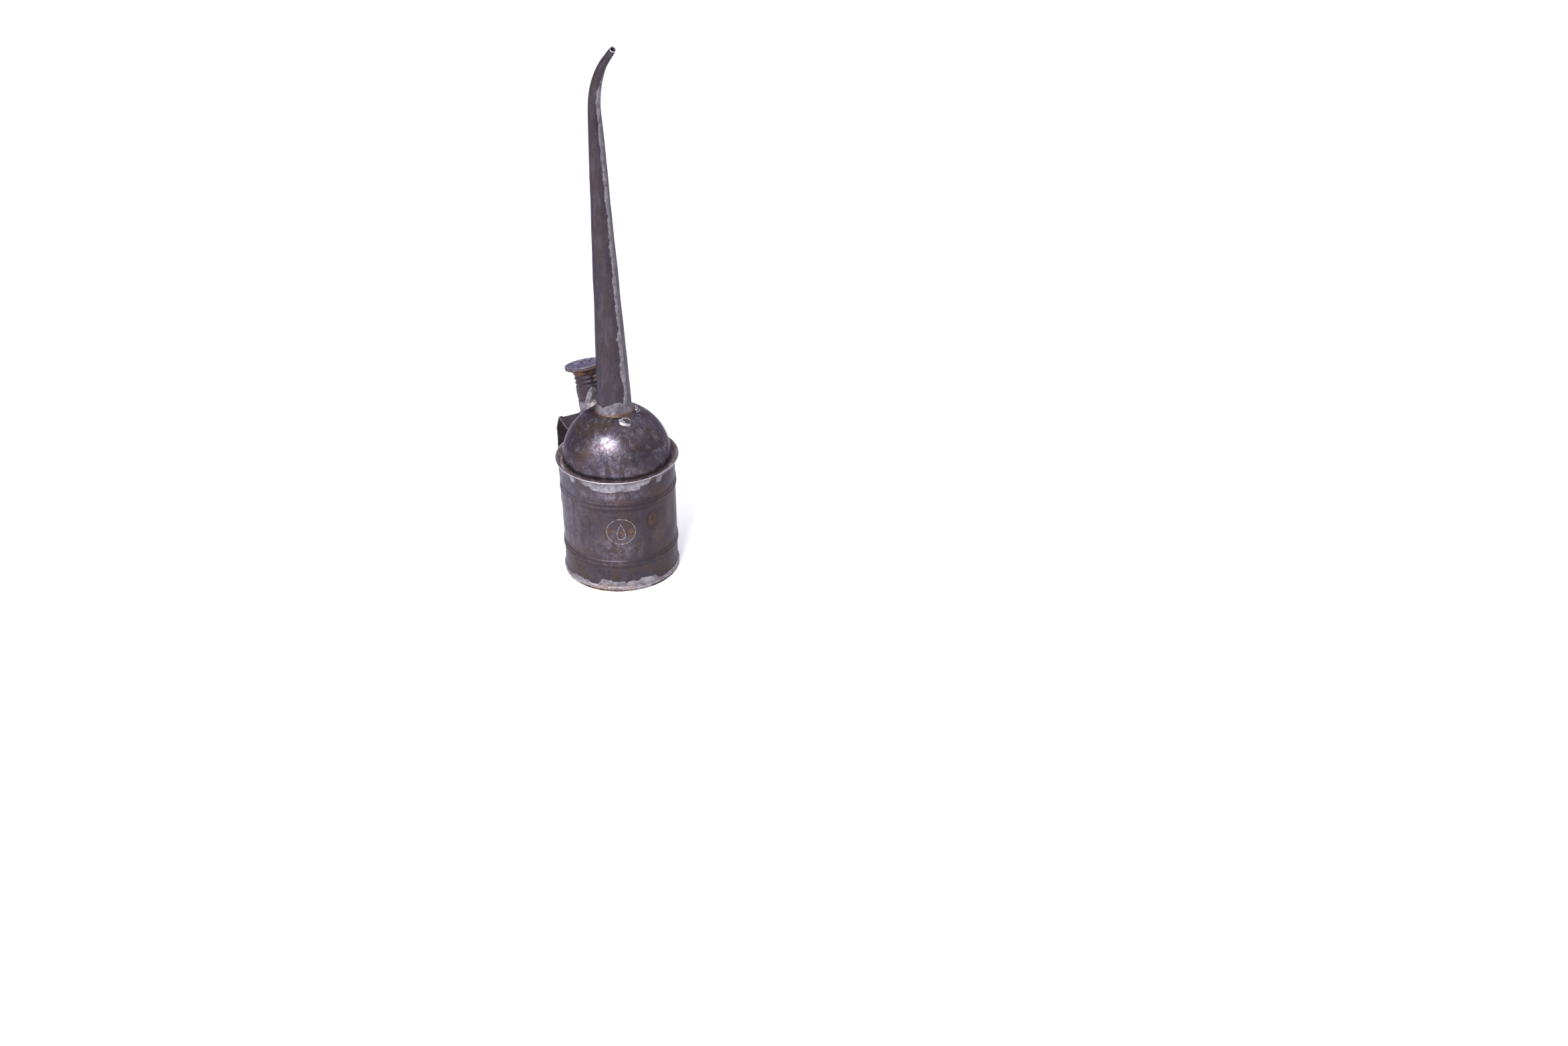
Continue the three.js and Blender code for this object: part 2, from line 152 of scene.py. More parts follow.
# Points run [along, around]. Every row is a closed ring, and a loop joins the last row to the first.
def skin(name, points, loop=False, capped=False, marks=None):
    along, around = points.shape[:2]
    verts = (points.reshape(-1, 3) * mm).tolist()
    index = np.arange(along * around).reshape(along, around)
    low = index if loop else index[:-1]
    high = np.roll(index, -1, axis=0) if loop else index[1:]
    quads = np.stack([low, np.roll(low, -1, axis=1), np.roll(high, -1, axis=1), high], axis=-1)
    faces = quads.reshape(-1, 4).tolist()
    for row in (0, along - 1) if capped else ():
        hub = len(verts)
        verts.append((points[row].mean(axis=0) * mm).tolist())
        faces += [[a, b, hub] for a, b in zip(index[row].tolist(), np.roll(index[row], -1).tolist())]
    mesh = bpy.data.meshes.new(name)
    mesh.from_pydata(verts, [], faces)
    for mark, values in (marks or {}).items():
        whole = np.zeros(len(verts), dtype=np.float32)
        whole[: values.size] = values.reshape(-1)
        mesh.attributes.new(mark, "FLOAT", "POINT").data.foreach_set("value", whole)
    return showMesh(name, mesh)


def showMesh(name, mesh, crease=40):
    form = bmesh.new()
    form.from_mesh(mesh)
    bmesh.ops.recalc_face_normals(form, faces=form.faces)
    form.to_mesh(mesh)
    form.free()
    mesh.polygons.foreach_set("use_smooth", [True] * len(mesh.polygons))
    mesh.set_sharp_from_angle(angle=math.radians(crease))
    piece = bpy.data.objects.new(name, mesh)
    bpy.context.scene.collection.objects.link(piece)
    return piece


lumps = {  # how solder lies: shares of its thickness, and millimetres
    "edge": 0.3, "broadShare": 0.55, "broadSize": 2.6, "fineShare": 0.4, "fineSize": 1.1,
    "least": 0.04, "buried": -0.25,
}


# A coat of solder: a thin patch laid on a surface by place(u, v, lift), from v = low to v = high at each u.
def coat(name, place, u, low, high, thick, rows=18, loop=False, lift=None, marks=None):
    under = [0.96, 0.5, 0.04]  # the way back below the surface
    share = np.concatenate([np.linspace(0, 1, rows), under])[None, :]
    v = low[:, None] + (high - low)[:, None] * share
    swell = np.sin(np.pi * np.clip(share, 0, 1)) ** 0.5
    raised = thick * (lumps["edge"] + (1 - lumps["edge"]) * swell)
    points = place(u[:, None], v, raised)
    raised = raised + thick * lumps["broadShare"] * ripple(points, lumps["broadSize"], 4.0)
    raised = raised + thick * lumps["fineShare"] * ripple(points, lumps["fineSize"], 8.0)
    if lift:
        raised = raised + lift(u[:, None] + v * 0, v, share + v * 0)
    isUnder = np.arange(share.size)[None, :] >= rows
    raised = np.where(isUnder, lumps["buried"], np.maximum(raised, lumps["least"]))
    points = place(u[:, None], v, raised)
    values = {mark: rule(u[:, None] + v * 0, v, share + v * 0) for mark, rule in (marks or {}).items()}
    return skin(name, points, loop=loop, capped=not loop, marks=values)


def settle(piece, body, nodes, finish):
    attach(piece, body)
    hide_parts(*nodes)
    piece.data.materials.append(finish)
    print("made", piece.name, len(piece.data.vertices), "vertices")


# Helpers for finishes

class Wire:
    def __init__(self, finish, socket):
        self.finish = finish
        self.socket = socket

    def maths(self, operation, first, second):
        return self.finish.node("ShaderNodeMath", {"operation": operation}, [first, second])

    def __add__(self, other):
        return self.maths("ADD", self, other)

    __radd__ = __add__

    def __sub__(self, other):
        return self.maths("SUBTRACT", self, other)

    def __rsub__(self, other):
        return self.maths("SUBTRACT", other, self)

    def __mul__(self, other):
        return self.maths("MULTIPLY", self, other)

    __rmul__ = __mul__

    def most(self, other):
        return self.maths("MAXIMUM", self, other)


class Finish:
    def __init__(self, name):
        self.material = bpy.data.materials.new(name)
        self.material.use_nodes = True
        self.tree = self.material.node_tree
        self.shader = self.tree.nodes["Principled BSDF"]
        self.place = self.node("ShaderNodeTexCoord", output="Object")

    def node(self, kind, settings=None, sockets=(), output=0):
        made = self.tree.nodes.new(kind)
        for key, value in (settings or {}).items():
            setattr(made, key, value)
        for key, value in sockets.items() if isinstance(sockets, dict) else enumerate(sockets):
            if isinstance(value, Wire):
                self.tree.links.new(value.socket, made.inputs[key])
            else:
                made.inputs[key].default_value = value
        return Wire(self, made.outputs[output])

    def stretched(self, x, y, z):
        return self.node("ShaderNodeVectorMath", {"operation": "MULTIPLY"}, [self.place, (x, y, z)])

    def cloud(self, size, detail=4.0, rough=0.6, place=None, twist=0.0):
        sockets = {"Vector": place or self.place, "Scale": 1 / (size * mm), "Detail": detail}
        sockets.update({"Roughness": rough, "Distortion": twist})
        return self.node("ShaderNodeTexNoise", None, sockets)

    # 0 below low, 1 above high and smooth between.
    def step(self, value, low, high):
        sockets = {"Value": value, "From Min": low, "From Max": high}
        return self.node("ShaderNodeMapRange", {"interpolation_type": "SMOOTHSTEP"}, sockets)

    # One of the patterns named below, from 0 to 1.
    def pattern(self, name, place=None):
        kind = patterns[name]
        noiseHere = self.cloud(kind["size"], kind["detail"], kind["rough"], place, kind.get("twist", 0.0))
        return self.step(noiseHere, *kind["between"])

    def blend(self, share, under, over):
        return self.node("ShaderNodeMix", {"data_type": "RGBA"}, {0: share, 6: under, 7: over}, output=2)

    def mark(self, name):
        return self.node("ShaderNodeAttribute", {"attribute_name": name}, output="Fac")

    # 1 within a radius of a place and 0 outside it, with an uneven edge.
    def spot(self, centre, radius, uneven=0.5, size=4.0, soft=0.4):
        point = tuple(c * mm for c in centre)
        away = self.node("ShaderNodeVectorMath", {"operation": "DISTANCE"}, [self.place, point], "Value")
        away = away + (self.cloud(size) - 0.5) * (uneven * radius * mm * 2)
        return 1 - self.step(away, radius * mm * (1 - soft), radius * mm)

    # 1 on the thin line where a plane through a place cuts the surface.
    def line(self, centre, across, width):
        level = sum(c * a * mm for c, a in zip(centre, across))
        settings = {"operation": "DOT_PRODUCT"}
        away = self.node("ShaderNodeVectorMath", settings, [self.place, across], "Value")
        away = away - level + (self.cloud(wander["size"]) - 0.5) * (wander["reach"] * mm)
        return 1 - self.step(away.maths("ABSOLUTE", away, 0.0), width * mm * 0.4, width * mm)

    def complete(self, colour, rough, metal, relief, depth=0.1):
        feeds = {"Base Color": colour, "Roughness": rough, "Metallic": metal}
        sockets = {"Strength": 1.0, "Distance": depth * mm, "Height": relief}
        feeds["Normal"] = self.node("ShaderNodeBump", None, sockets)
        for socket, value in feeds.items():
            if isinstance(value, Wire):
                self.tree.links.new(value.socket, self.shader.inputs[socket])
            else:
                self.shader.inputs[socket].default_value = value
        self.shader.inputs["Specular Tint"].default_value = dullEdge["tint"]
        self.shader.inputs["Specular IOR Level"].default_value = dullEdge["level"]
        return self.material


dullEdge = {"tint": (0.42, 0.40, 0.50, 1), "level": 0.3}  # old metal stays dark where it is seen edge on
wander = {"size": 7.0, "reach": 1.2}  # how far a scratch strays from straight


# A colour as it looks on a screen, 0 to 255.
def tone(*parts):
    linear = [c / 255 / 12.92 if c <= 10 else ((c / 255 + 0.055) / 1.055) ** 2.4 for c in parts]
    return (*linear, 1.0)


# Finishes

# Size is in millimetres. Noise below the first number of between counts as 0, and above the second as 1.
patterns = {
    "broad": {"size": 16, "detail": 8, "rough": 0.68, "between": (0.43, 0.57)},
    "mottle": {"size": 4.2, "detail": 8, "rough": 0.75, "between": (0.46, 0.62)},
    "scuff": {"size": 9, "detail": 12, "rough": 0.82, "between": (0.55, 0.68), "twist": 0.4},
    "smudge": {"size": 7, "detail": 9, "rough": 0.75, "between": (0.52, 0.66), "twist": 0.6},
    "hairs": {"size": 2.4, "detail": 6, "rough": 0.7, "between": (0.57, 0.66), "twist": 0.3},
    "glints": {"size": 1.6, "detail": 5, "rough": 0.7, "between": (0.62, 0.70), "twist": 0.2},
    "pits": {"size": 0.9, "detail": 3, "rough": 0.6, "between": (0.64, 0.70)},
    "specks": {"size": 3.4, "detail": 9, "rough": 0.82, "between": (0.60, 0.67)},
    "grain": {"size": 3.0, "detail": 7, "rough": 0.7, "between": (0.36, 0.62)},
    # The next pattern breaks up the painted sheen.
    "paintedSheen": {"size": 3.2, "detail": 9, "rough": 0.8, "between": (0.40, 0.62)},
    "crust": {"size": 2.6, "detail": 6, "rough": 0.7, "between": (0.36, 0.56)},
    "patch": {"size": 5.0, "detail": 7, "rough": 0.7, "between": (0.38, 0.62)},
    "seams": {"size": 2.2, "detail": 8, "rough": 0.8, "between": (0.60, 0.68), "twist": 0.5},
    "solderRust": {"size": 3.0, "detail": 6, "rough": 0.7, "between": (0.42, 0.60)},
    "blotch": {"size": 5.0, "detail": 5, "rough": 0.6, "between": (0.4, 0.65)},
    "oil": {"size": 1.5, "detail": 5, "rough": 0.6, "between": (0.55, 0.7)},
}
patina = {
    "plum": tone(64, 58, 66),
    "brown": tone(70, 57, 52),
    "umber": tone(52, 41, 38),
    "dark": tone(32, 27, 30),
    "paleAndSheen": tone(104, 99, 114),
    # The next colour is painted sheen, for the pale mark and the glints.
    "paintedSheen": tone(150, 144, 166),
    "rust": tone(80, 56, 36),
    "orange": tone(150, 92, 34),
    "silver": tone(190, 186, 192),
    "tin": tone(142, 138, 144),
    "tinShade": tone(104, 100, 106),
    "flux": tone(92, 62, 28),
    # The next two colours are dust, also used as painted fill light in the gutter.
    "dustAndFillLight": tone(112, 96, 98),
    "paleDustAndFillLight": tone(140, 132, 142),
}


# Old tinned sheet worn down to brown and plum-grey steel. Marks on the mesh say where tin, rust,
# grime and painted shade, dust and painted fill light, painted sheen, and bare edges and painted highlights
# are.
# Each scratch has a middle, the way across it and a reach.
def agedSteel(name, look, marks, scratched=()):
    f = Finish(name)
    streaks = f.stretched(1.0, 1.0, look["streak"])
    broad = f.pattern("broad", streaks)
    mottle = f.pattern("mottle", streaks)
    scuff = f.pattern("scuff", streaks)
    smudge = f.pattern("smudge", streaks)
    hairs = f.pattern("hairs", f.stretched(0.35, 0.35, 3.2))
    glints = f.pattern("glints", f.stretched(0.30, 0.30, 2.6))
    pits = f.pattern("pits")
    specks = f.pattern("specks")
    fine = f.cloud(1.0, 6.0, 0.75)

    colour = f.blend(broad * look["warmth"], patina["plum"], patina["brown"])
    colour = f.blend(mottle * look["mottle"], colour, patina["paleAndSheen"])
    colour = f.blend(scuff * look["scuff"], colour, patina["paleAndSheen"])
    colour = f.blend(f.step(fine, 0.50, 0.72) * 0.35, colour, patina["dark"])
    colour = f.blend(smudge * look["smudge"], colour, patina["umber"])
    colour = f.blend(hairs * look["hairs"], colour, patina["dark"])
    colour = f.blend(glints * look["hairs"] * 0.5, colour, patina["paintedSheen"])
    colour = f.blend(specks * look["rust"], colour, patina["rust"])
    colour = f.blend(pits * 0.7, colour, patina["dark"])
    colour = f.blend(look["shade"], colour, patina["dark"])
    rough = look["rough"] + (fine - 0.5) * 0.25 + mottle * 0.05 - scuff * 0.08 + specks * 0.15
    metal = look["metal"] - specks * 0.25 - broad * 0.10 + scuff * 0.08
    relief = fine * 0.3 + mottle * 0.25 - pits * 0.7 + f.cloud(4.0, 3.0, 0.5) * 0.6

    if "tin" in marks:
        tin = f.mark("tin")
        tinColour = f.blend(f.pattern("grain", streaks), patina["tinShade"], patina["tin"])
        colour = f.blend(tin * 0.92, colour, tinColour)
        rough = rough + tin * (0.44 - rough)
        relief = relief + tin * 1.2
    # This mark darkens the colour for real grime and also for painted shade, such as the darker sides of
    # the body and dome.
    if "grimeAndShade" in marks:
        grimeAndShade = f.mark("grimeAndShade") * (0.55 + mottle * 0.45)
        colour = f.blend(grimeAndShade * 0.8, colour, f.blend(mottle, patina["dark"], patina["umber"]))
        rough = rough + grimeAndShade * 0.15
        metal = metal - grimeAndShade * 0.25
    # Dust, which also lightens shaded hollows such as the gutter, a painted fill light.
    if "dustAndFillLight" in marks:
        dustAndFillLight = f.mark("dustAndFillLight") * (0.75 + mottle * 0.25)
        colour = f.blend(dustAndFillLight, colour, f.blend(mottle, patina["dustAndFillLight"], patina["paleDustAndFillLight"]))
        rough = rough + dustAndFillLight * 0.2
        metal = metal - dustAndFillLight * 0.8
    # The pale mark is painted sheen: a lighter lavender colour laid where light and highlights fall.
    if "paleAndSheen" in marks:
        paleAndSheen = f.mark("paleAndSheen") * f.pattern("paintedSheen", streaks)
        colour = f.blend(paleAndSheen, colour, patina["paintedSheen"])
        rough = rough - paleAndSheen * 0.08
    if "rust" in marks:
        rust = f.mark("rust") * f.pattern("crust")
        rustColour = f.blend(fine * look["glow"], patina["rust"], patina["orange"])
        colour = f.blend(rust * 0.85, colour, rustColour)
        rough = rough + rust * 0.25
        metal = metal - rust * 0.5
    for centre, across, reach in scratched:
        scratch = f.line(centre, across, 0.08) * f.spot(centre, reach, 0.5, 3.0, 0.7)
        colour = f.blend(scratch * 0.5, colour, patina["silver"])
        rough = rough - scratch * 0.1
        relief = relief - scratch * 0.4
    # Bare wear, which at the body's lip and the neck's thread crests also lays a painted highlight.
    if "wornAndGlint" in marks:
        wornAndGlint = f.step(f.mark("wornAndGlint") * (0.35 + f.cloud(2.5, 5.0, 0.7) * 1.3), 0.35, 0.8)
        colour = f.blend(wornAndGlint * 0.8, colour, patina["silver"])
        rough = rough - wornAndGlint * 0.1
        metal = metal.most(wornAndGlint * 0.9)
    return f.complete(colour, rough, metal, relief, look["relief"])


# Solder gone dull: mottled grey skin with dark seams, brighter where it was rubbed.
def solderSkin(name, look, marks=()):
    f = Finish(name)
    patch = f.pattern("patch")
    seams = f.pattern("seams")
    fine = f.cloud(1.0, 5.0, 0.65)
    colour = f.blend(patch, patina["tinShade"], patina["tin"])
    colour = f.blend(look["bright"], colour, patina["silver"])
    colour = f.blend(seams * look["seams"], colour, patina["dark"])
    colour = f.blend(look["dim"], colour, patina["dark"])
    rough = look["rough"] + (fine - 0.5) * 0.25 + seams * 0.15
    metal = 0.85 - seams * 0.3
    if "flux" in marks:
        flux = f.mark("flux") * (0.6 + patch * 0.4)
        colour = f.blend(flux, colour, f.blend(fine, patina["flux"], patina["brown"]))
        metal = metal - flux * 0.45
        rough = rough + flux * 0.1
    if "rust" in marks:
        rust = f.mark("rust") * f.pattern("solderRust")
        colour = f.blend(rust, colour, f.blend(fine, patina["rust"], patina["orange"]))
        metal = metal - rust * 0.5
        rough = rough + rust * 0.15
    relief = patch * 0.4 + fine * 0.6 - seams * 0.6
    return f.complete(colour, rough, metal, relief, look["relief"])


# Stage

camera = {"lens": 42.894, "heading": 40.8, "dip": 30.404, "place": (-0.6802, -0.9711, 0.7253)}
sky = {"colour": (0.93, 0.92, 1.0, 1), "strength": 1.06}
floorHalf = 8.0
lamps = [
    {"name": "keyLight", "azimuth": -147, "height": 43, "far": 1.3, "size": (0.50, 0.42), "power": 24},
    {"name": "leftSoftbox", "azimuth": 172, "height": 22, "far": 1.6, "size": (0.8, 1.4), "power": 7},
    {"name": "rightSoftbox", "azimuth": 5, "height": 20, "far": 1.6, "size": (0.5, 1.4), "power": 3},
    {"name": "topSoftbox", "azimuth": 60, "height": 75, "far": 2.0, "size": (1.5, 1.5), "power": 4},
]


def makeStage():
    scene = bpy.context.scene
    scene.view_settings.view_transform = "Standard"
    lens = bpy.data.cameras.new("camera")
    lens.lens = camera["lens"]
    lens.sensor_width = 36
    eye = bpy.data.objects.new("camera", lens)
    eye.location = camera["place"]
    eye.rotation_euler = (math.radians(90 - camera["dip"]), 0, math.radians(-camera["heading"]))
    scene.collection.objects.link(eye)
    scene.camera = eye

    world = bpy.data.worlds.new("studio")
    world.use_nodes = True
    backdrop = world.node_tree.nodes["Background"]
    backdrop.inputs["Color"].default_value = sky["colour"]
    backdrop.inputs["Strength"].default_value = sky["strength"]
    scene.world = world

    h = floorHalf
    mesh = bpy.data.meshes.new("floor")
    mesh.from_pydata([(-h, -h, 0), (h, -h, 0), (h, h, 0), (-h, h, 0)], [], [(0, 1, 2, 3)])
    floor = bpy.data.objects.new("floor", mesh)
    scene.collection.objects.link(floor)
    paper = Finish("palePaper")
    grain = paper.cloud(3.0)
    colour = paper.blend(grain, (0.95, 0.95, 0.95, 1), (0.98, 0.98, 0.98, 1))
    mesh.materials.append(paper.complete(colour, 0.9, 0.0, grain, 0.02))

    middle = (cadLow + cadHigh) / 2
    for lamp in lamps:
        a, e = math.radians(lamp["azimuth"]), math.radians(lamp["height"])
        way = Vector((math.cos(a) * math.cos(e), math.sin(a) * math.cos(e), math.sin(e)))
        data = bpy.data.lights.new(lamp["name"], "AREA")
        data.shape = "RECTANGLE"
        data.size, data.size_y = lamp["size"]
        data.energy = lamp["power"]
        glow = bpy.data.objects.new(lamp["name"], data)
        glow.location = middle + way * lamp["far"]
        glow.rotation_mode = "QUATERNION"
        glow.rotation_quaternion = (-way).to_track_quat("-Z", "Y")
        scene.collection.objects.link(glow)
    print("stage ready")


makeStage()


# Body: a rolled wall with two swaged beads, a flared rim and a stamped badge

shell = {
    "radius": 41.2,
    "foot": 1.1,
    "sheet": 0.7,
    "rolled": 0.45,
    "beads": (23.5, 70.0),
    "flareStart": 84.5,
    "rimRadius": 44.6,
    "rimHeight": 90.8,
    "front": -125,
}
bodySteps = {"badgeSpan": 17.5, "frontSpan": 78, "badge": 0.0052, "front": 0.0098, "back": 0.026}
badge = {
    "height": 49.8, "ring": 10.2, "dropWide": 4.4, "dropTall": 6.4, "rise": 0.36, "line": 0.34, "sunk": 0.1,
}
tinPatches = [  # from, to and depth below the rim, in degrees round from the front and millimetres
    (-92, -61, 5.2), (-58, -45, 7.3), (-42, -25, 6.0), (-33, 25, 8.8), (18, 35, 6.2),
    (37, 51, 6.8), (56, 80, 5.0), (98, 150, 5.0), (166, 214, 8.0), (226, 262, 6.0),
]
bodyDents = [  # azimuth, height, width, tall, depth
    (-62, 52, 6, 11, 0.8), (170, 40, 9, 14, 0.6), (20, 58, 8, 9, 0.5), (95, 48, 12, 10, 0.4),
]
rustStain = {"azimuth": -92, "height": 55.5, "wide": 6.0, "tall": 6.0}  # wide in degrees
sheetLook = {
    "streak": 0.6, "warmth": 1.0, "mottle": 0.14, "hairs": 0.55, "scuff": 0.32, "smudge": 0.85,
    "rust": 0.4, "shade": 0.25, "glow": 0.5, "rough": 0.35, "metal": 0.62, "relief": 0.09,
}


def wallRadius(z):
    z = np.asarray(z, float)
    radius = np.full(z.shape, shell["radius"])
    for bead in shell["beads"]:
        swell = rise(z, bead - 3.2, bead - 2.2) * (1 - rise(z, bead + 1.6, bead + 3.0))
        radius = radius + 0.18 * swell + 0.68 * hump(z, bead - 1.4, 0.8) + 0.5 * hump(z, bead + 1.8, 0.6)
    along = np.clip((z - shell["flareStart"]) / (shell["rimHeight"] - shell["flareStart"]), 0, 1)
    return radius + (shell["rimRadius"] - shell["radius"]) * along**2


# How near each place is to the badge's raised lines: a ring with an oil drop in it.
def badgeLines(across, up):
    turn = circle(160)
    dropX = badge["dropWide"] * np.sin(turn) * np.sin(turn / 2) ** 1.6
    dropY = badge["dropTall"] * np.cos(turn)
    near = np.hypot(across[..., None] - dropX, up[..., None] - dropY).min(axis=-1)
    near = np.minimum(near, np.abs(np.hypot(across, up) - badge["ring"]))
    return 1 - rise(near, badge["line"] * 0.5, badge["line"] * 1.9)


def onWall(angle, z, lift=0.0):
    radius = wallRadius(z) + lift
    return turned(radius, angle, z)


def makeBody():
    front = math.radians(shell["front"])
    nearBadge, facing = math.radians(bodySteps["badgeSpan"]), math.radians(bodySteps["frontSpan"])
    angle = front + np.concatenate([
        np.arange(-facing, -nearBadge, bodySteps["front"]),
        np.arange(-nearBadge, nearBadge, bodySteps["badge"]),
        np.arange(nearBadge, facing, bodySteps["front"]),
        np.arange(facing, 2 * math.pi - facing, bodySteps["back"]),
    ])
    top = shell["rimHeight"] - 0.4
    outer = spaced((shell["foot"], 37.5, 0.45), (37.5, 62, 0.22), (62, top, 0.4))
    inner = spaced((shell["foot"], 84, 3.0), (84, top, 0.6))[::-1]
    lipTurn = np.linspace(0.08, 0.92, 8) * math.pi
    rows = np.concatenate([outer, np.full(lipTurn.size, top), inner])
    flat = wallRadius(rows)
    lip = slice(outer.size, outer.size + lipTurn.size)
    flat[lip.stop:] -= shell["sheet"]
    flat[lip] = flat[outer.size - 1] - shell["sheet"] / 2 + shell["rolled"] * np.cos(lipTurn)
    rows[lip] += shell["rolled"] * np.sin(lipTurn) * 0.9

    flat, z = revolved(np.stack([flat, rows], axis=1), angle)
    isOuter = outside(rows.size, outer.size)
    points = turned(flat, angle, z)
    slack = rise(z, 10, 28) * (1 - rise(z, 76, 84))  # the wall is stiff at its foot and its rim
    radius = flat + slack * (ripple(points, 26, 3) * 0.5 + ripple(points, 9, 5) * 0.12)
    for azimuth, height, wide, tall, depth in bodyDents:
        away = turnGap(angle, math.radians(azimuth))[None, :] * shell["radius"]
        radius = radius - depth * hump(away, 0, wide) * hump(z, height, tall)

    fromFront = degreesFrom(angle, shell["front"])[None, :]
    across = turnGap(angle, front)[None, :] * shell["radius"]
    up = z - badge["height"]  # across and up are measured from the badge's middle
    near = (np.hypot(across, up) < badge["ring"] + 2) & (isOuter > 0)
    lines = np.zeros(z.shape)
    lines[near] = badgeLines(np.broadcast_to(across, z.shape)[near], up[near])
    field = (1 - rise(np.hypot(across, up), badge["ring"] - 1.5, badge["ring"])) * isOuter
    radius = radius + badge["rise"] * lines - badge["sunk"] * field

    teeth = ragged(np.cos(angle) * 41, 11, 1.0) * 2.6 + ragged(np.sin(angle) * 41, 9, 5.0) * 1.8
    tin = np.zeros(z.shape)
    for start, end, depth in tinPatches:
        inside = stretch(fromFront, start, end, 5)
        edge = shell["rimHeight"] - (depth + teeth[None, :]) * inside
        tin = np.maximum(tin, rise(z - edge, -0.1, 0.35) * (inside > 0.02))
    tin *= isOuter
    toStain = degreesFrom(angle, rustStain["azimuth"])[None, :]
    stain = hump(toStain, 0, rustStain["wide"]) * hump(z, rustStain["height"], rustStain["tall"])
    rust = 0.34 * rise(stain, 0.15, 0.8)
    rust = rust + 0.6 * field * (1 - lines) * rise(ripple(points, 4, 2), 0.04, 0.2) * hump(up, -1.5, 6)
    for bead, strength in zip(shell["beads"], (1.0, 0.5)):  # thin rust above each bead
        rust = rust + 0.55 * strength * hump(z, bead + 3.6, 0.6) * rise(ripple(points, 17, 7), 0.0, 0.16)
    grimeAndShade = hump(z, shell["beads"][0] - 3.4, 0.9) + hump(z, shell["beads"][1] - 3.4, 0.9)
    for bead in shell["beads"]:  # and darker in the groove between its two ridges
        grimeAndShade = grimeAndShade + 1.0 * hump(z, bead + 0.4, 0.6)
    grimeAndShade = grimeAndShade + 0.8 * rise(stain, 0.1, 0.4)
    # Painted shade makes it darker to the right of the badge, and painted light makes it lighter low in
    # front, at the left and below the flare.
    grimeAndShade = grimeAndShade + 0.85 * hump(fromFront, 36, 27) * rise(ripple(points, 16, 11), -0.5, 0.1) * isOuter
    paleAndSheen = 0.25 * hump(fromFront, -4, 22) * hump(z, 36, 12)
    paleAndSheen = paleAndSheen + 0.2 * hump(fromFront, -68, 26) * rise(z, 26, 30)
    paleAndSheen = paleAndSheen + 0.35 * hump(fromFront, -8, 30) * hump(z, 78, 3)
    wornAndGlint = np.zeros(z.shape)
    # The lip is bare, and brighter still at the front, where this also lays a painted highlight.
    wornAndGlint[lip] = 0.62 + 0.4 * hump(fromFront, 0, 25)
    for bead in shell["beads"]:
        wornAndGlint = wornAndGlint + 0.42 * hump(z, bead - 1.1, 0.5) * isOuter
    # Dust inside the rim, over the gutter, also painted fill light where the gutter is shaded.
    dustAndFillLight = (1 - isOuter) * rise(z, 78, 82)  # inside the rim, over the gutter
    marks = {"tin": tin, "rust": rust * isOuter, "grimeAndShade": grimeAndShade * isOuter, "paleAndSheen": paleAndSheen * isOuter}
    marks.update({"wornAndGlint": wornAndGlint + lines * 0.52, "dustAndFillLight": dustAndFillLight})
    points = turned(radius, angle, z)
    body = skin("bodyShell", points, loop=True, marks=marks)
    finish = agedSteel("bodySteel", sheetLook, marks)
    settle(body, "can", ["body_shell"], finish)


makeBody()


# The lap down the back of the body, soldered inside the handle

bodySeam = {
    "azimuth": 81.2, "low": 27.5, "high": 66.0, "halfWidth": 2.7, "thick": 0.45, "tooth": 7, "wander": 0.8,
}
wallSolder = {"dim": 0.0, "bright": 0.15, "seams": 0.45, "rough": 0.42, "relief": 0.14}


def makeBodySeam():
    z = np.linspace(bodySeam["low"], bodySeam["high"], 150)
    middle = math.radians(bodySeam["azimuth"])
    half = bodySeam["halfWidth"] / shell["radius"]
    taper = np.sin(np.pi * np.linspace(0.03, 0.97, z.size)) ** 0.25
    low = middle - half * taper * (1 + ragged(z, bodySeam["tooth"], 2.0) * bodySeam["wander"])
    high = middle + half * taper * (1 + ragged(z, bodySeam["tooth"], 6.0) * bodySeam["wander"])
    seam = coat("bodySeamSolder", lambda u, v, lift: onWall(v, u, lift), z, low, high, bodySeam["thick"])
    settle(seam, "can", ["body_seam_solder"], solderSkin("seamSolder", wallSolder))


makeBodySeam()


# Base: a shallow pan with its wall up round the body's foot, and a ragged run of solder over the joint

pan = {"radius": 42.0, "wallHeight": 3.2, "floor": 0.8, "wall": 0.5}
residue = {"height": 4.4, "least": 4.2, "thick": 0.26, "tooth": 1.2, "patchTooth": 2.8}
residuePatches = [  # from, to and height over the rest, in degrees round from the front and millimetres
    (-62, -32, 2.0), (-28, 6, 4.4), (0, 40, 3.6), (120, 150, 2.5), (200, 250, 3.0),
]


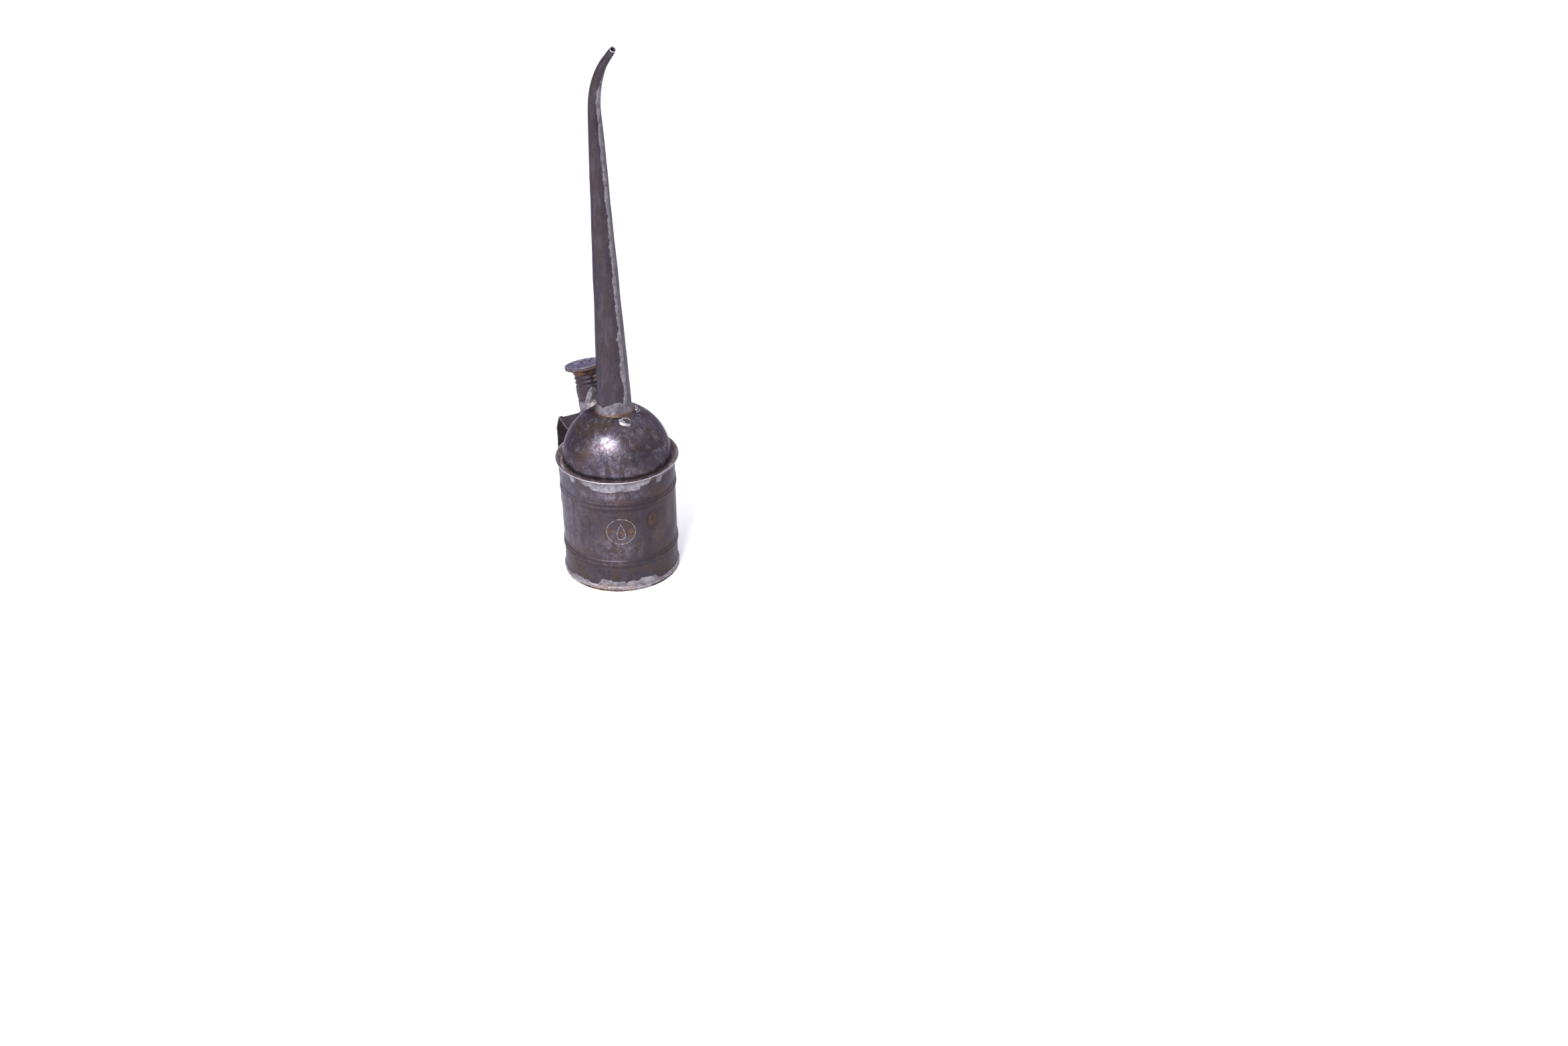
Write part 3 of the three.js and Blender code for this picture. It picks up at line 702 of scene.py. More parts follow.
def makeBase():
    r, top = pan["radius"], pan["wallHeight"]
    bore = r - pan["wall"]
    outline = [(0.01, 0.35), (24, 0.35), *arc((26, 0.7), 0.7, 225, 270, 4), (30, 0.0), (r - 1.0, 0)]
    outline += arc((r - 0.9, 0.9), 0.9, -80, 0) + [(r, 1.6)] + arc((r - 0.25, top - 0.25), 0.25, 0, 180)
    outline += [(bore, top - 0.6), (bore, pan["floor"] + 0.2)]
    outline += [(bore - 0.3, pan["floor"]), (0.01, pan["floor"])]
    profile = finer(outline, 1.4)
    angle = circle(360)
    radius, z = revolved(profile, angle)
    points = turned(radius, angle, z)
    onSide = rise(radius, r - 1.2, r - 0.2)
    radius = radius - np.abs(ripple(points, 8, 2)) * 0.35 * onSide
    points = turned(radius, angle, z)
    rust = (1 - onSide) * rise(ripple(points, 9, 4), -0.05, 0.2)
    rust = rust + onSide * rise(ripple(points, 7, 1), 0.1, 0.25)
    wornAndGlint = onSide * (0.5 + 0.5 * rise(z, top - 0.9, top - 0.2))
    tin = onSide * rise(ripple(points, 11, 6), -0.16, -0.02)
    grimeAndShade = onSide * rise(ripple(points, 9, 9), 0.12, 0.3)
    marks = {"tin": tin, "rust": rust, "grimeAndShade": grimeAndShade, "wornAndGlint": wornAndGlint * 0.75}
    base = skin("basePan", points, marks=marks, capped=True)
    settle(base, "can", ["base_pan"], agedSteel("panSteel", sheetLook, marks))

    u = circle(900)
    fromFront = degreesFrom(u, shell["front"])
    teeth = ragged(np.cos(u) * 41, 6, 3.0) + ragged(np.sin(u) * 41, 5, 9.0)
    high = residue["height"] + teeth * residue["tooth"]
    for start, end, reach in residuePatches:
        patch = stretch(fromFront, start, end, 7) * (reach + teeth * residue["patchTooth"])
        high = np.maximum(high, residue["height"] + patch)

    def place(u, v, lift):
        onPan = 1 - rise(v, top, top + 1.1)
        radius = wallRadius(v) + (pan["radius"] - shell["radius"]) * onPan + lift
        return turned(radius, u, v)

    def rustAt(u, v, share):
        side = hump(degreesFrom(u, shell["front"]), -18, 12) + 0.4 * rise(ragged(u * 41, 14, 2.0), 0.0, 0.3)
        return 0.8 * side * rise(0.7 - share, 0, 0.3)

    low = np.full(u.shape, top - 0.4)
    high = np.maximum(high, residue["least"])
    marks = {"rust": rustAt}
    run = coat("baseSolder", place, u, low, high, residue["thick"], loop=True, marks=marks)
    look = {"dim": 0.08, "bright": 0.0, "seams": 0.85, "rough": 0.38, "relief": 0.2}
    settle(run, "can", ["base_solder"], solderSkin("baseResidue", look, marks))


makeBase()


# Dome: a half ball whose skirt slips inside the body and leaves a gutter at the rim

dome = {"radius": 38.9, "centre": 90.3, "gutter": 85.2, "skirtFoot": 79.0, "sheet": 0.7}
gutterBead = {"outer": 41.15, "wide": 2.2, "height": 1.7, "hollow": 0.5, "climb": 1.3, "thick": 0.22}
domeDents = [  # x, y, width, depth: seen from above
    (-26.5, -14.5, 1.5, 0.16), (-24.0, -17.8, 1.7, 0.16), (-22.2, -19.5, 1.1, 0.1), (-29, -9, 1.2, 0.08),
    (20, -14, 8, 0.5), (-8, 27, 9, 0.5), (-33, 4, 7, 0.3), (2, -33, 5, 0.25), (24, 18, 6, 0.4),
]
rubbedHighlightSpot = (-23.5, -19, 114)
scratches = [  # x and y of the middle, slant in degrees and reach
    (-26.5, -14, 58, 5), (-24, -18.5, 35, 4), (-21, -21, 118, 3.5), (-28, -11, 128, 3), (-9, -29, 75, 3),
]
domeLook = {
    "streak": 0.8, "warmth": 1.0, "mottle": 0.26, "hairs": 0.45, "scuff": 0.45, "smudge": 0.5,
    "rust": 0.25, "shade": 0.16, "glow": 0.4, "rough": 0.30, "metal": 0.85, "relief": 0.06,
}


def ballHeight(x, y, lift=0.0):
    return dome["centre"] + np.sqrt(np.maximum((dome["radius"] + lift) ** 2 - x**2 - y**2, 0))


# A scratch as its middle on the ball, the way across it and its reach.
def scratchPlace(x, y, slant, reach):
    centre = np.array([x, y, float(ballHeight(x, y))])
    out = centre - [0, 0, dome["centre"]]
    side = np.cross([0, 0, 1], out)
    side /= np.linalg.norm(side)
    up = np.cross(out, side) / np.linalg.norm(out)
    turn = math.radians(slant)
    return tuple(centre), tuple(math.cos(turn) * up - math.sin(turn) * side), reach


def domeOutline(inset):
    r, g = dome["radius"] - inset, dome["gutter"] - inset
    skirt = shell["radius"] - shell["sheet"] - 0.3 - inset
    outline = [(skirt, dome["skirtFoot"]), (skirt, g - 0.5)] + arc((skirt - 0.5, g - 0.5), 0.5, 0, 90, 4)
    outline += arc((r + 1.0, g + 1.0), 1.0, 250, 180, 6) + arc((0, dome["centre"]), r, 0, 89.7, 100)
    return finer(outline, 0.75)


def makeDome():
    outer, inner = domeOutline(0.0), domeOutline(dome["sheet"])[::4][::-1]
    profile = np.concatenate([outer, inner])
    angle = circle(560)
    radius, z = revolved(profile, angle)
    points = turned(radius, angle, z)
    x, y = points[..., 0], points[..., 1]
    onBall = rise(z, 89, 94)
    push = onBall * (ripple(points, 24, 8) * 0.4 + ripple(points, 8, 3) * 0.06)
    for dentX, dentY, width, depth in domeDents:
        push = push - depth * onBall * hump(np.hypot(x - dentX, y - dentY), 0, width)
    away = points - np.array([0, 0, dome["centre"]])
    away /= np.linalg.norm(away, axis=-1, keepdims=True)
    points = points + away * push[..., None]
    isOuter = outside(profile.shape[0], outer.shape[0])
    fromFront = degreesFrom(angle, shell["front"])[None, :]
    footEdge = np.hypot(x, y)
    # Painted shade makes both sides darker, it is darker round the spout, and painted light makes the front
    # and upper right lighter, with flecks of tin and a rubbed spot that also carries a painted highlight
    # where the key light falls.
    grimeAndShade = 0.45 * hump(fromFront, 48, 30) * rise(ripple(points, 14, 11), -0.4, 0.1)
    grimeAndShade = grimeAndShade + 0.3 * hump(fromFront, -50, 16) * rise(ripple(points, 14, 3), -0.2, 0.2)
    streaked = rise(ripple(points * [1, 1, 0.4], 4, 2), -0.25, 0.15)
    paleAndSheen = 0.42 * hump(fromFront, -2, 24) * hump(z, 96, 6) * streaked
    paleAndSheen = paleAndSheen + 0.6 * hump(np.linalg.norm(points - rubbedHighlightSpot, axis=-1), 0, 8)
    paleAndSheen = paleAndSheen + 0.35 * hump(fromFront, -10, 20) * hump(z, 107, 7)
    paleAndSheen = paleAndSheen + 0.25 * hump(fromFront, 30, 25) * hump(z, 120, 7)
    grimeAndShade = grimeAndShade + 0.6 * hump(footEdge, 15, 2.5) * rise(ripple(points, 4, 5), -0.3, 0.1)
    tin = hump(np.hypot(x + 13, y + 11), 0, 5) * rise(ripple(points, 3.0, 9), 0.0, 0.16) * 0.4
    tin = tin + hump(np.hypot(x - 8, y + 16), 0, 5) * rise(ripple(points, 2.5, 4), 0.0, 0.16) * 0.4
    tin = tin + hump(z, 92.5, 1.2) * rise(ripple(points, 5, 12), 0.08, 0.2) * 0.3
    tin = tin + rise(ripple(points, 5, 15), 0.22, 0.34) * rise(ripple(points, 1.5, 3), -0.1, 0.15) * 0.3
    # Rust at the foot of the ball and round the spout's solder, and dust in the gutter that also lightens
    # its shade as painted fill light.
    rust = hump(z, 88, 2.0) * rise(ripple(points, 15, 6), 0.05, 0.3) * 0.4
    rust = rust + 0.7 * hump(footEdge, 14.3, 1.0) * rise(ripple(points, 3, 9), -0.1, 0.1)
    dustAndFillLight = isOuter * (1 - rise(z, 87, 91.5))
    marks = {"grimeAndShade": grimeAndShade, "tin": tin * isOuter, "rust": rust, "paleAndSheen": paleAndSheen * isOuter, "dustAndFillLight": dustAndFillLight}
    top = skin("domeTop", points, loop=True, marks=marks)
    scratched = [scratchPlace(*each) for each in scratches]
    finish = agedSteel("domeSteel", domeLook, marks, scratched)
    settle(top, "can", ["dome_top"], finish)

    u = circle(480)
    high = 1 + ragged(np.cos(u) * 41, 8, 4.0) * 0.5 + ragged(np.sin(u) * 41, 9, 2.0) * 0.5

    # It lies in the gutter from the flare, at v = 0, up the foot of the ball, at about v = 1.
    def place(u, v, lift):
        radius = gutterBead["outer"] - gutterBead["wide"] * ease(v * 1.1)
        hollow = gutterBead["hollow"] * np.sin(np.pi * np.clip(v, 0, 1))
        z = dome["gutter"] + gutterBead["height"] - hollow + gutterBead["climb"] * v**2 + lift
        return turned(radius, u, z)

    # Dust over the gutter solder, also painted fill light in the shaded gutter.
    def dustAndFillLightAt(u, v, share):
        return 1 - 0.3 * share

    marks = {"dustAndFillLight": dustAndFillLightAt}
    gutter = coat("gutterSolder", place, u, u * 0, high, gutterBead["thick"], loop=True, marks=marks)
    look = {**domeLook, "rough": 0.42, "metal": 0.6}
    settle(gutter, "can", ["dome_solder"], agedSteel("gutterSkin", look, marks))


makeDome()


# Spout: a tapering tube rolled from sheet with a soldered lap, straight and then bent at its end

spout = {
    "start": 120.0,
    "lean": math.radians(1.6),
    "straight": 218.8,
    "bendRadius": 54.4,
    "bend": math.radians(45.8),
    "tip": 12.8,
    "radii": (12.4, 4.45, 3.1, 2.15),
    "wall": 0.5,
    "lap": math.radians(-72),
    "lapRise": 0.38,
}
spoutDent = {"azimuth": -158, "along": 17, "wide": 0.28, "tall": 7, "depth": 0.7}
spoutLength = spout["straight"] + spout["bendRadius"] * spout["bend"] + spout["tip"]
spoutLook = {
    "streak": 0.3, "warmth": 0.5, "mottle": 0.3, "hairs": 0.25, "scuff": 0.10, "smudge": 0.3,
    "rust": 0.10, "shade": 0.36, "glow": 0.5, "rough": 0.34, "metal": 0.75, "relief": 0.06,
}


def onSpout(along, angle, radius):
    lean, bend, bendRadius = spout["lean"], spout["bend"], spout["bendRadius"]
    straight = np.minimum(along, spout["straight"])
    turn = np.clip((along - straight) / bendRadius, 0, bend)
    tip = np.maximum(along - spout["straight"] - bendRadius * bend, 0)
    tilt = turn - lean
    ahead = -straight * math.sin(lean) + bendRadius * (math.cos(lean) - np.cos(tilt)) + tip * np.sin(tilt)
    up = straight * math.cos(lean) + bendRadius * (np.sin(tilt) + math.sin(lean)) + tip * np.cos(tilt)
    back = radius * np.sin(angle)
    z = spout["start"] + up + back * np.sin(tilt)
    return stack(radius * np.cos(angle), -ahead + back * np.cos(tilt), z)


def spoutRadius(along):
    middle = (spout["straight"] + spoutLength) / 2
    return np.interp(along, [0, spout["straight"], middle, spoutLength], spout["radii"])


# The lap's free edge: the sheet steps up at it, and runs back down round the tube.
def lapLift(angle, along):
    past = turnGap(angle, spout["lap"])
    step = rise(past * spoutRadius(along), 0.0, 0.3) * (past >= 0)
    fall = 1 - rise(past, 0.5, 1.2)
    groove = hump(past * spoutRadius(along), -0.15, 0.28)
    end = 1 - rise(along, spoutLength - 26, spoutLength - 18)
    return (spout["lapRise"] * step * fall - 0.12 * groove) * (0.25 + 0.75 * end)


def makeSpout():
    lapStart = spout["lap"] - 0.1
    angle = np.concatenate([
        lapStart + np.arange(0, 0.3, 0.012), lapStart + 0.3 + np.arange(0, 2 * math.pi - 0.3, 0.062),
    ])
    bendStart, tip = spout["straight"], spoutLength - 0.2
    outer = spaced((3.0, 20, 0.8), (20, bendStart, 1.1), (bendStart, tip, 0.8))
    inner = spaced((3.0, bendStart, 9), (bendStart, tip, 2.0))[::-1]
    rows = np.concatenate([outer, inner])
    flat = spoutRadius(rows)
    flat[outer.size:] -= spout["wall"]
    along = rows[:, None]
    isOuter = outside(rows.size, outer.size)
    bare = onSpout(along, angle[None, :], flat[:, None])
    easing = 1 - rise(along, 250, 260)  # the thin end is even
    bumps = ripple(bare, 22, 6) * 0.35 * easing + ripple(bare, 7, 2) * 0.07
    toDent = turnGap(angle, math.radians(spoutDent["azimuth"]))[None, :]
    dent = spoutDent["depth"] * hump(toDent, 0, spoutDent["wide"])
    dent = dent * hump(along, spoutDent["along"], spoutDent["tall"])
    radius = flat[:, None] + isOuter * lapLift(angle[None, :], along) - dent + bumps
    points = onSpout(along, angle[None, :], radius)
    edge = hump(turnGap(angle, spout["lap"])[None, :] * flat[:, None], 0.25, 0.25) * isOuter
    wornAndGlint = edge * 0.4 + rise(along, spoutLength - 0.8, spoutLength - 0.25) * 1.0
    grimeAndShade = (1 - isOuter) + hump(turnGap(angle, spout["lap"])[None, :] * flat[:, None], -0.3, 0.3) * 0.6
    lapBand = turnGap(angle, spout["lap"])[None, :]
    tin = 0.30 * isOuter * rise(lapBand, 0.0, 0.05) * (1 - rise(lapBand, 0.55, 0.8))
    marks = {"wornAndGlint": wornAndGlint, "grimeAndShade": grimeAndShade, "tin": tin}
    tube = skin("spoutTube", points, loop=True, marks=marks)
    finish = agedSteel("spoutSteel", spoutLook, marks)
    settle(tube, "can", ["spout_tube"], finish)


makeSpout()

seamRun = {"fromFoot": 12.0, "fromTip": 24.0, "width": 3.6, "thick": 0.22}
footFillet = {"height": 8.0, "climb": 5.0, "reach": 2.0, "thick": 0.34}


def makeSpoutSolder():
    u = np.linspace(seamRun["fromFoot"], spoutLength - seamRun["fromTip"], 620)
    radius = spoutRadius(u)
    fade = 1 - 0.45 * u / spoutLength
    left = seamRun["width"] * fade * (1 + ragged(u, 16, 1.0) * 0.9 + ragged(u, 3, 7.0) * 0.35)
    left = left + 1.7 * hump(u, 64, 5) + 1.4 * hump(u, 12, 6)
    left = left * rise(u, seamRun["fromFoot"] - 1, seamRun["fromFoot"] + 1) + 0.1
    left = left * (1 - 0.9 * rise(u, u[-1] - 14, u[-1]))
    high = np.full(u.shape, spout["lap"]) + 0.12 / radius
    low = high - left / radius

    def place(u, v, lift):
        return onSpout(u, v, spoutRadius(u) + lapLift(v, u) + lift)

    strip = coat("spoutSeamSolder", place, u, low, high, seamRun["thick"], rows=14)
    look = {"dim": 0.2, "bright": 0.0, "seams": 0.6, "rough": 0.42, "relief": 0.12}
    settle(strip, "can", ["spout_seam_solder"], solderSkin("stripSolder", look))

    # The fillet at the foot climbs the tube in scallops, and is brown with flux where it meets the dome.
    angle = circle(420)
    toFront = turnGap(angle, math.radians(shell["front"]))
    scallop = np.abs(np.sin(angle * 4.5 + 0.6)) * 0.9 + ragged(angle * 12, 5, 3.0) * 1.6
    toRight = turnGap(angle, math.radians(-42))
    climb = footFillet["climb"] + scallop + 4.2 * hump(toFront, 0.15, 0.55)
    climb = climb + 2.2 * hump(toFront, 0.75, 0.12)
    reach = footFillet["reach"] + ragged(angle * 12, 6, 8.0) * 1.4 + 1.2 * hump(toRight, 0, 0.3)

    def fillet(u, v, lift):
        # v runs from 0 on the dome, by 1 in the corner, to 2 up the tube
        footRadius = spoutRadius(footFillet["height"])
        outRadius = footRadius + np.interp(u, angle, reach)
        height = 7.0 + np.interp(u, angle, climb)
        t = v / 2
        startZ = ballHeight(outRadius, 0.0) - spout["start"]
        cornerRadius, cornerZ = footRadius + 0.35, startZ + 1.0
        r = (1 - t) ** 2 * outRadius + 2 * t * (1 - t) * cornerRadius + t**2 * spoutRadius(height)
        along = (1 - t) ** 2 * startZ + 2 * t * (1 - t) * cornerZ + t**2 * height
        return onSpout(along + lift * (1 - t) * 0.8, u, r + lift * (0.5 + 0.5 * t))

    def fluxAt(u, v, share):
        brown = 1 - rise(share + 0.12 * np.sin(u * 7) * np.sin(u * 3 + 2), 0.24, 0.44)
        behind = rise(np.abs(turnGap(u, math.radians(shell["front"]))), 0.9, 1.3)
        return brown * (0.85 + 0.15 * np.sin(u * 3 + 1)) + 0.5 * behind

    low = np.zeros(angle.shape)
    high = low + 2
    marks, thick = {"flux": fluxAt}, footFillet["thick"]
    ring = coat("spoutFootSolder", fillet, angle, low, high, thick, rows=30, loop=True, marks=marks)
    look = {"dim": 0.38, "bright": 0.0, "seams": 0.9, "rough": 0.40, "relief": 0.2}
    settle(ring, "can", ["spout_base_solder"], solderSkin("footSolder", look, marks))


makeSpoutSolder()


# A run of bright solder curled on the dome in front of the spout, and small drops beside it

crescent = {"centre": (-3.3, -17.7), "across": 3.6, "deep": 2.7, "start": 0, "end": 286, "thick": 1.15}
drops = [  # x, y, size
    (11.2, -10.4, 1.5), (12.8, -8.2, 1.3), (12.6, -11.8, 0.9), (10.0, -12.6, 1.1), (14.2, -9.9, 0.8),
    (9.0, -15.2, 0.5), (15.8, -11.6, 0.35), (-12.2, -15.0, 0.3), (13.9, -5.6, 1.0),
]


def makeCrescent():
    turn = np.radians(np.linspace(crescent["start"], crescent["end"], 110))
    share = np.linspace(0, 1, turn.size)
    thick = crescent["thick"] * (0.5 + 0.8 * hump(share, 0.72, 0.28))
    thick = thick * np.sin(np.pi * np.clip(share, 0.03, 0.97)) ** 0.3
    thick = thick * (1 + ragged(share * 20, 5, 9.0) * 0.5)
    sideWay, farWay = np.array([0.819, -0.574]), np.array([0.574, 0.819])
    across = crescent["across"] * np.cos(turn + math.radians(35))
    deep = crescent["deep"] * np.sin(turn + math.radians(35))
    stray = ragged(share * 20, 6, 3.0) * 0.7
    x = crescent["centre"][0] + across * sideWay[0] + deep * farWay[0] + stray
    y = crescent["centre"][1] + across * sideWay[1] + deep * farWay[1] - stray
    line = stack(x, y, ballHeight(x, y))
    ahead = np.gradient(line, axis=0)
    ahead /= np.linalg.norm(ahead, axis=1, keepdims=True)
    up = line - np.array([0, 0, dome["centre"]])
    up /= np.linalg.norm(up, axis=1, keepdims=True)
    side = np.cross(ahead, up)
    around = circle(28)[None, :, None]
    size = thick[:, None, None]
    ring = side[:, None] * np.cos(around) * 1.35 + up[:, None] * np.sin(around) * 0.85
    points = line[:, None] + size * ring
    points = points + up[:, None] * (ripple(points, 2.2, 6)[..., None] * 0.35)
    spread = np.zeros(points.shape[:2])
    rust = hump(share, 0.62, 0.06)[:, None] * (np.sin(around[..., 0]) < 0.2) + spread
    flux = 0.75 * (1 - rise(share, 0.25, 0.45))[:, None] + spread
    marks = {"rust": rust, "flux": flux}
    run = skin("solderCurl", points, capped=True, marks=marks)
    look = {"dim": 0.0, "bright": 0.6, "seams": 0.8, "rough": 0.22, "relief": 0.12}
    settle(run, "can", ["spout_solder_crescent"], solderSkin("brightSolder", look, marks))

    form = bmesh.new()
    for x, y, size in drops:
        bead = bmesh.ops.create_icosphere(form, subdivisions=3, radius=size)["verts"]
        for vert in bead:
            vert.co *= 1 + 0.3 * noise.noise(vert.co / size * 1.3 + Vector((x, y, 0)))
            vert.co.z *= 0.75
        bmesh.ops.translate(form, verts=bead, vec=(x, y, float(ballHeight(x, y)) + size * 0.25))
    bmesh.ops.scale(form, verts=form.verts, vec=(mm, mm, mm))
    mesh = bpy.data.meshes.new("solderDrops")
    form.to_mesh(mesh)
    form.free()
    look = {"dim": 0.1, "bright": 0.1, "seams": 0.9, "rough": 0.26, "relief": 0.15}
    settle(showMesh("solderDrops", mesh), "can", [], solderSkin("dropSolder", look))


makeCrescent()


# Filler neck: a tilted tube with a rolled thread.
# Its own frame has the mouth at the origin and +Z out of it.

capJoint = next(j for j in frame["joints"] if j["name"] == "cap_turn")
neck = {"radius": 9.8, "wall": 0.7, "thread": 11.5, "pitch": 3.175, "depth": 0.7, "fade": 1.5}
sleeve = {  # the solder up the neck: height from the mouth, higher where it faces the front
    "facing": -118, "height": -21.5, "climb": 8.2, "tooth": 3.4, "least": 2.6, "flare": 1.3,
    "flareTall": 4.5, "thick": 0.36,
}
neckMouth = np.array(capJoint["pos_m"]) / mm
neckWay = np.array(capJoint["axis"])


def onNeck(angle, z, radius):
    x, y = radius * np.cos(angle), radius * np.sin(angle)
    s, c = neckWay[1], neckWay[2]
    return stack(x, y * c + z * s, z * c - y * s) + neckMouth


# Where a line along the neck meets the dome's ball.
def neckFoot(angle, radius, lift=0.0):
    start = onNeck(angle, 0.0, radius) - np.array([0, 0, dome["centre"]])
    half = start @ neckWay
    spare = (start**2).sum(axis=-1) - (dome["radius"] + lift) ** 2
    return -half + np.sqrt(half**2 - spare)


def threadWave(angle, z, power=1.0):
    phase = z / neck["pitch"] - angle / (2 * math.pi)
    return ((1 - np.cos(2 * math.pi * phase)) / 2) ** power


def threadShare(z, top, bottom):
    return np.clip(np.minimum(top - z, z - bottom) / neck["fade"], 0, 1)


rustyLook = {
    "streak": 1.0, "warmth": 0.9, "mottle": 0.3, "hairs": 0.3, "scuff": 0.15, "smudge": 0.5,
    "rust": 0.35, "shade": 0.30, "glow": 1.1, "rough": 0.38, "metal": 0.6, "relief": 0.12,
}


def makeNeck():
    angle = circle(240)[None, :]
    foot = neckFoot(angle[0], neck["radius"], -0.5)[None, :]
    low = foot + (-neck["thread"] - foot) * np.linspace(0, 1, 26)[:, None]
    high = np.repeat(np.linspace(-neck["thread"], -0.25, 66)[1:, None], angle.size, axis=1)
    lip = np.repeat(np.array([-0.08, 0.0, 0.0, -0.08])[:, None], angle.size, axis=1)
    down = np.repeat(np.linspace(-0.3, -neck["thread"], 50)[:, None], angle.size, axis=1)
    z = np.concatenate([low, high, lip, down, foot + (-neck["thread"] - foot) * np.array([[0.5], [0.0]])])
    outerRows = low.shape[0] + high.shape[0]
    flat = np.full(z.shape[0], neck["radius"])
    flat[outerRows:outerRows + 4] -= np.array([0.05, 0.2, 0.5, 0.65])
    flat[outerRows + 4:] -= neck["wall"]
    flat = flat[:, None]
    share = threadShare(z, 0.0, -neck["thread"])
    radius = flat - neck["depth"] * share * threadWave(angle, z, 0.8)
    bare = onNeck(angle, z, radius)
    isOuter = outside(z.shape[0], outerRows + 2)
    radius = radius + isOuter * (ripple(bare, 8, 3) * 0.3 + ripple(bare, 2.5, 6) * 0.1)
    points = onNeck(angle, z, radius)
    facing = degreesFrom(angle, -95)
    # Rust under the cap and down the front of the thread, whose crests are bare toward the front, partly a
    # painted highlight.
    rust = 0.9 * hump(z, -0.4, 1.2) * rise(ripple(points, 5, 2), -0.4, -0.1)
    rust = rust + hump(facing, 6, 11) * hump(z, -3, 4.5) * rise(ripple(points, 4, 2), -0.15, 0.1)
    # Bare crests only on the side facing the light, partly a painted highlight.
    crest = share * (1 - threadWave(angle, z)) ** 3 * isOuter * hump(facing, 8, 26)
    grimeAndShade = 0.5 + 0.5 * share * threadWave(angle, z)
    marks = {"rust": rust, "wornAndGlint": crest * 0.7, "grimeAndShade": grimeAndShade * (1 - np.clip(rust, 0, 1))}
    tube = skin("fillerNeck", points, loop=True, marks=marks)
    finish = agedSteel("neckSteel", rustyLook, marks)
    settle(tube, "can", ["filler_neck"], finish)

    u = circle(360)
    toFace = degreesFrom(u, sleeve["facing"])
    climb = sleeve["climb"] * rise(toFace, -42, -8) * (1 - rise(toFace, 60, 95))
    high = sleeve["height"] + climb + 2.0 * hump(toFace, 6, 12)
    high = high + ragged(u * neck["radius"], 5, 4.0) * sleeve["tooth"]
    low = neckFoot(u, neck["radius"] + 1.2, 0.0) - 0.6
    high = np.maximum(high, low + sleeve["least"])

    def place(u, v, lift):
        onFoot = 1 - ease((v - low[:, None]) / sleeve["flareTall"])
        return onNeck(u, v, neck["radius"] + sleeve["flare"] * onFoot**2 + lift)

    def fluxAt(u, v, share):
        return 0.8 * hump(degreesFrom(u, -72), 0, 22) + 0.25 * (1 - share) ** 2

    marks = {"flux": fluxAt}
    coated = coat("neckSolder", place, u, low, high, sleeve["thick"], rows=26, loop=True, marks=marks)
    look = {"dim": 0.3, "bright": 0.0, "seams": 0.85, "rough": 0.44, "relief": 0.22}
    settle(coated, "can", ["neck_solder"], solderSkin("neckSkin", look, marks))


makeNeck()


# Cap: a dished disc with a knurled rim over a screw shell, with a leather washer under it

cap = {"radius": 14.8, "under": 1.8, "rim": 4.6, "dish": 3.0, "rimWidth": 1.5, "teeth": 104, "knurl": 0.3}
plug = {"top": 1.5, "foot": -9.0, "root": 8.05, "bore": 7.0}
capLook = {
    "streak": 1.0, "warmth": 0.15, "mottle": 0.4, "hairs": 0.2, "scuff": 0.8, "smudge": 0.2,
    "rust": 0.06, "shade": 0.0, "glow": 1.2, "rough": 0.27, "metal": 0.9, "relief": 0.05,
}


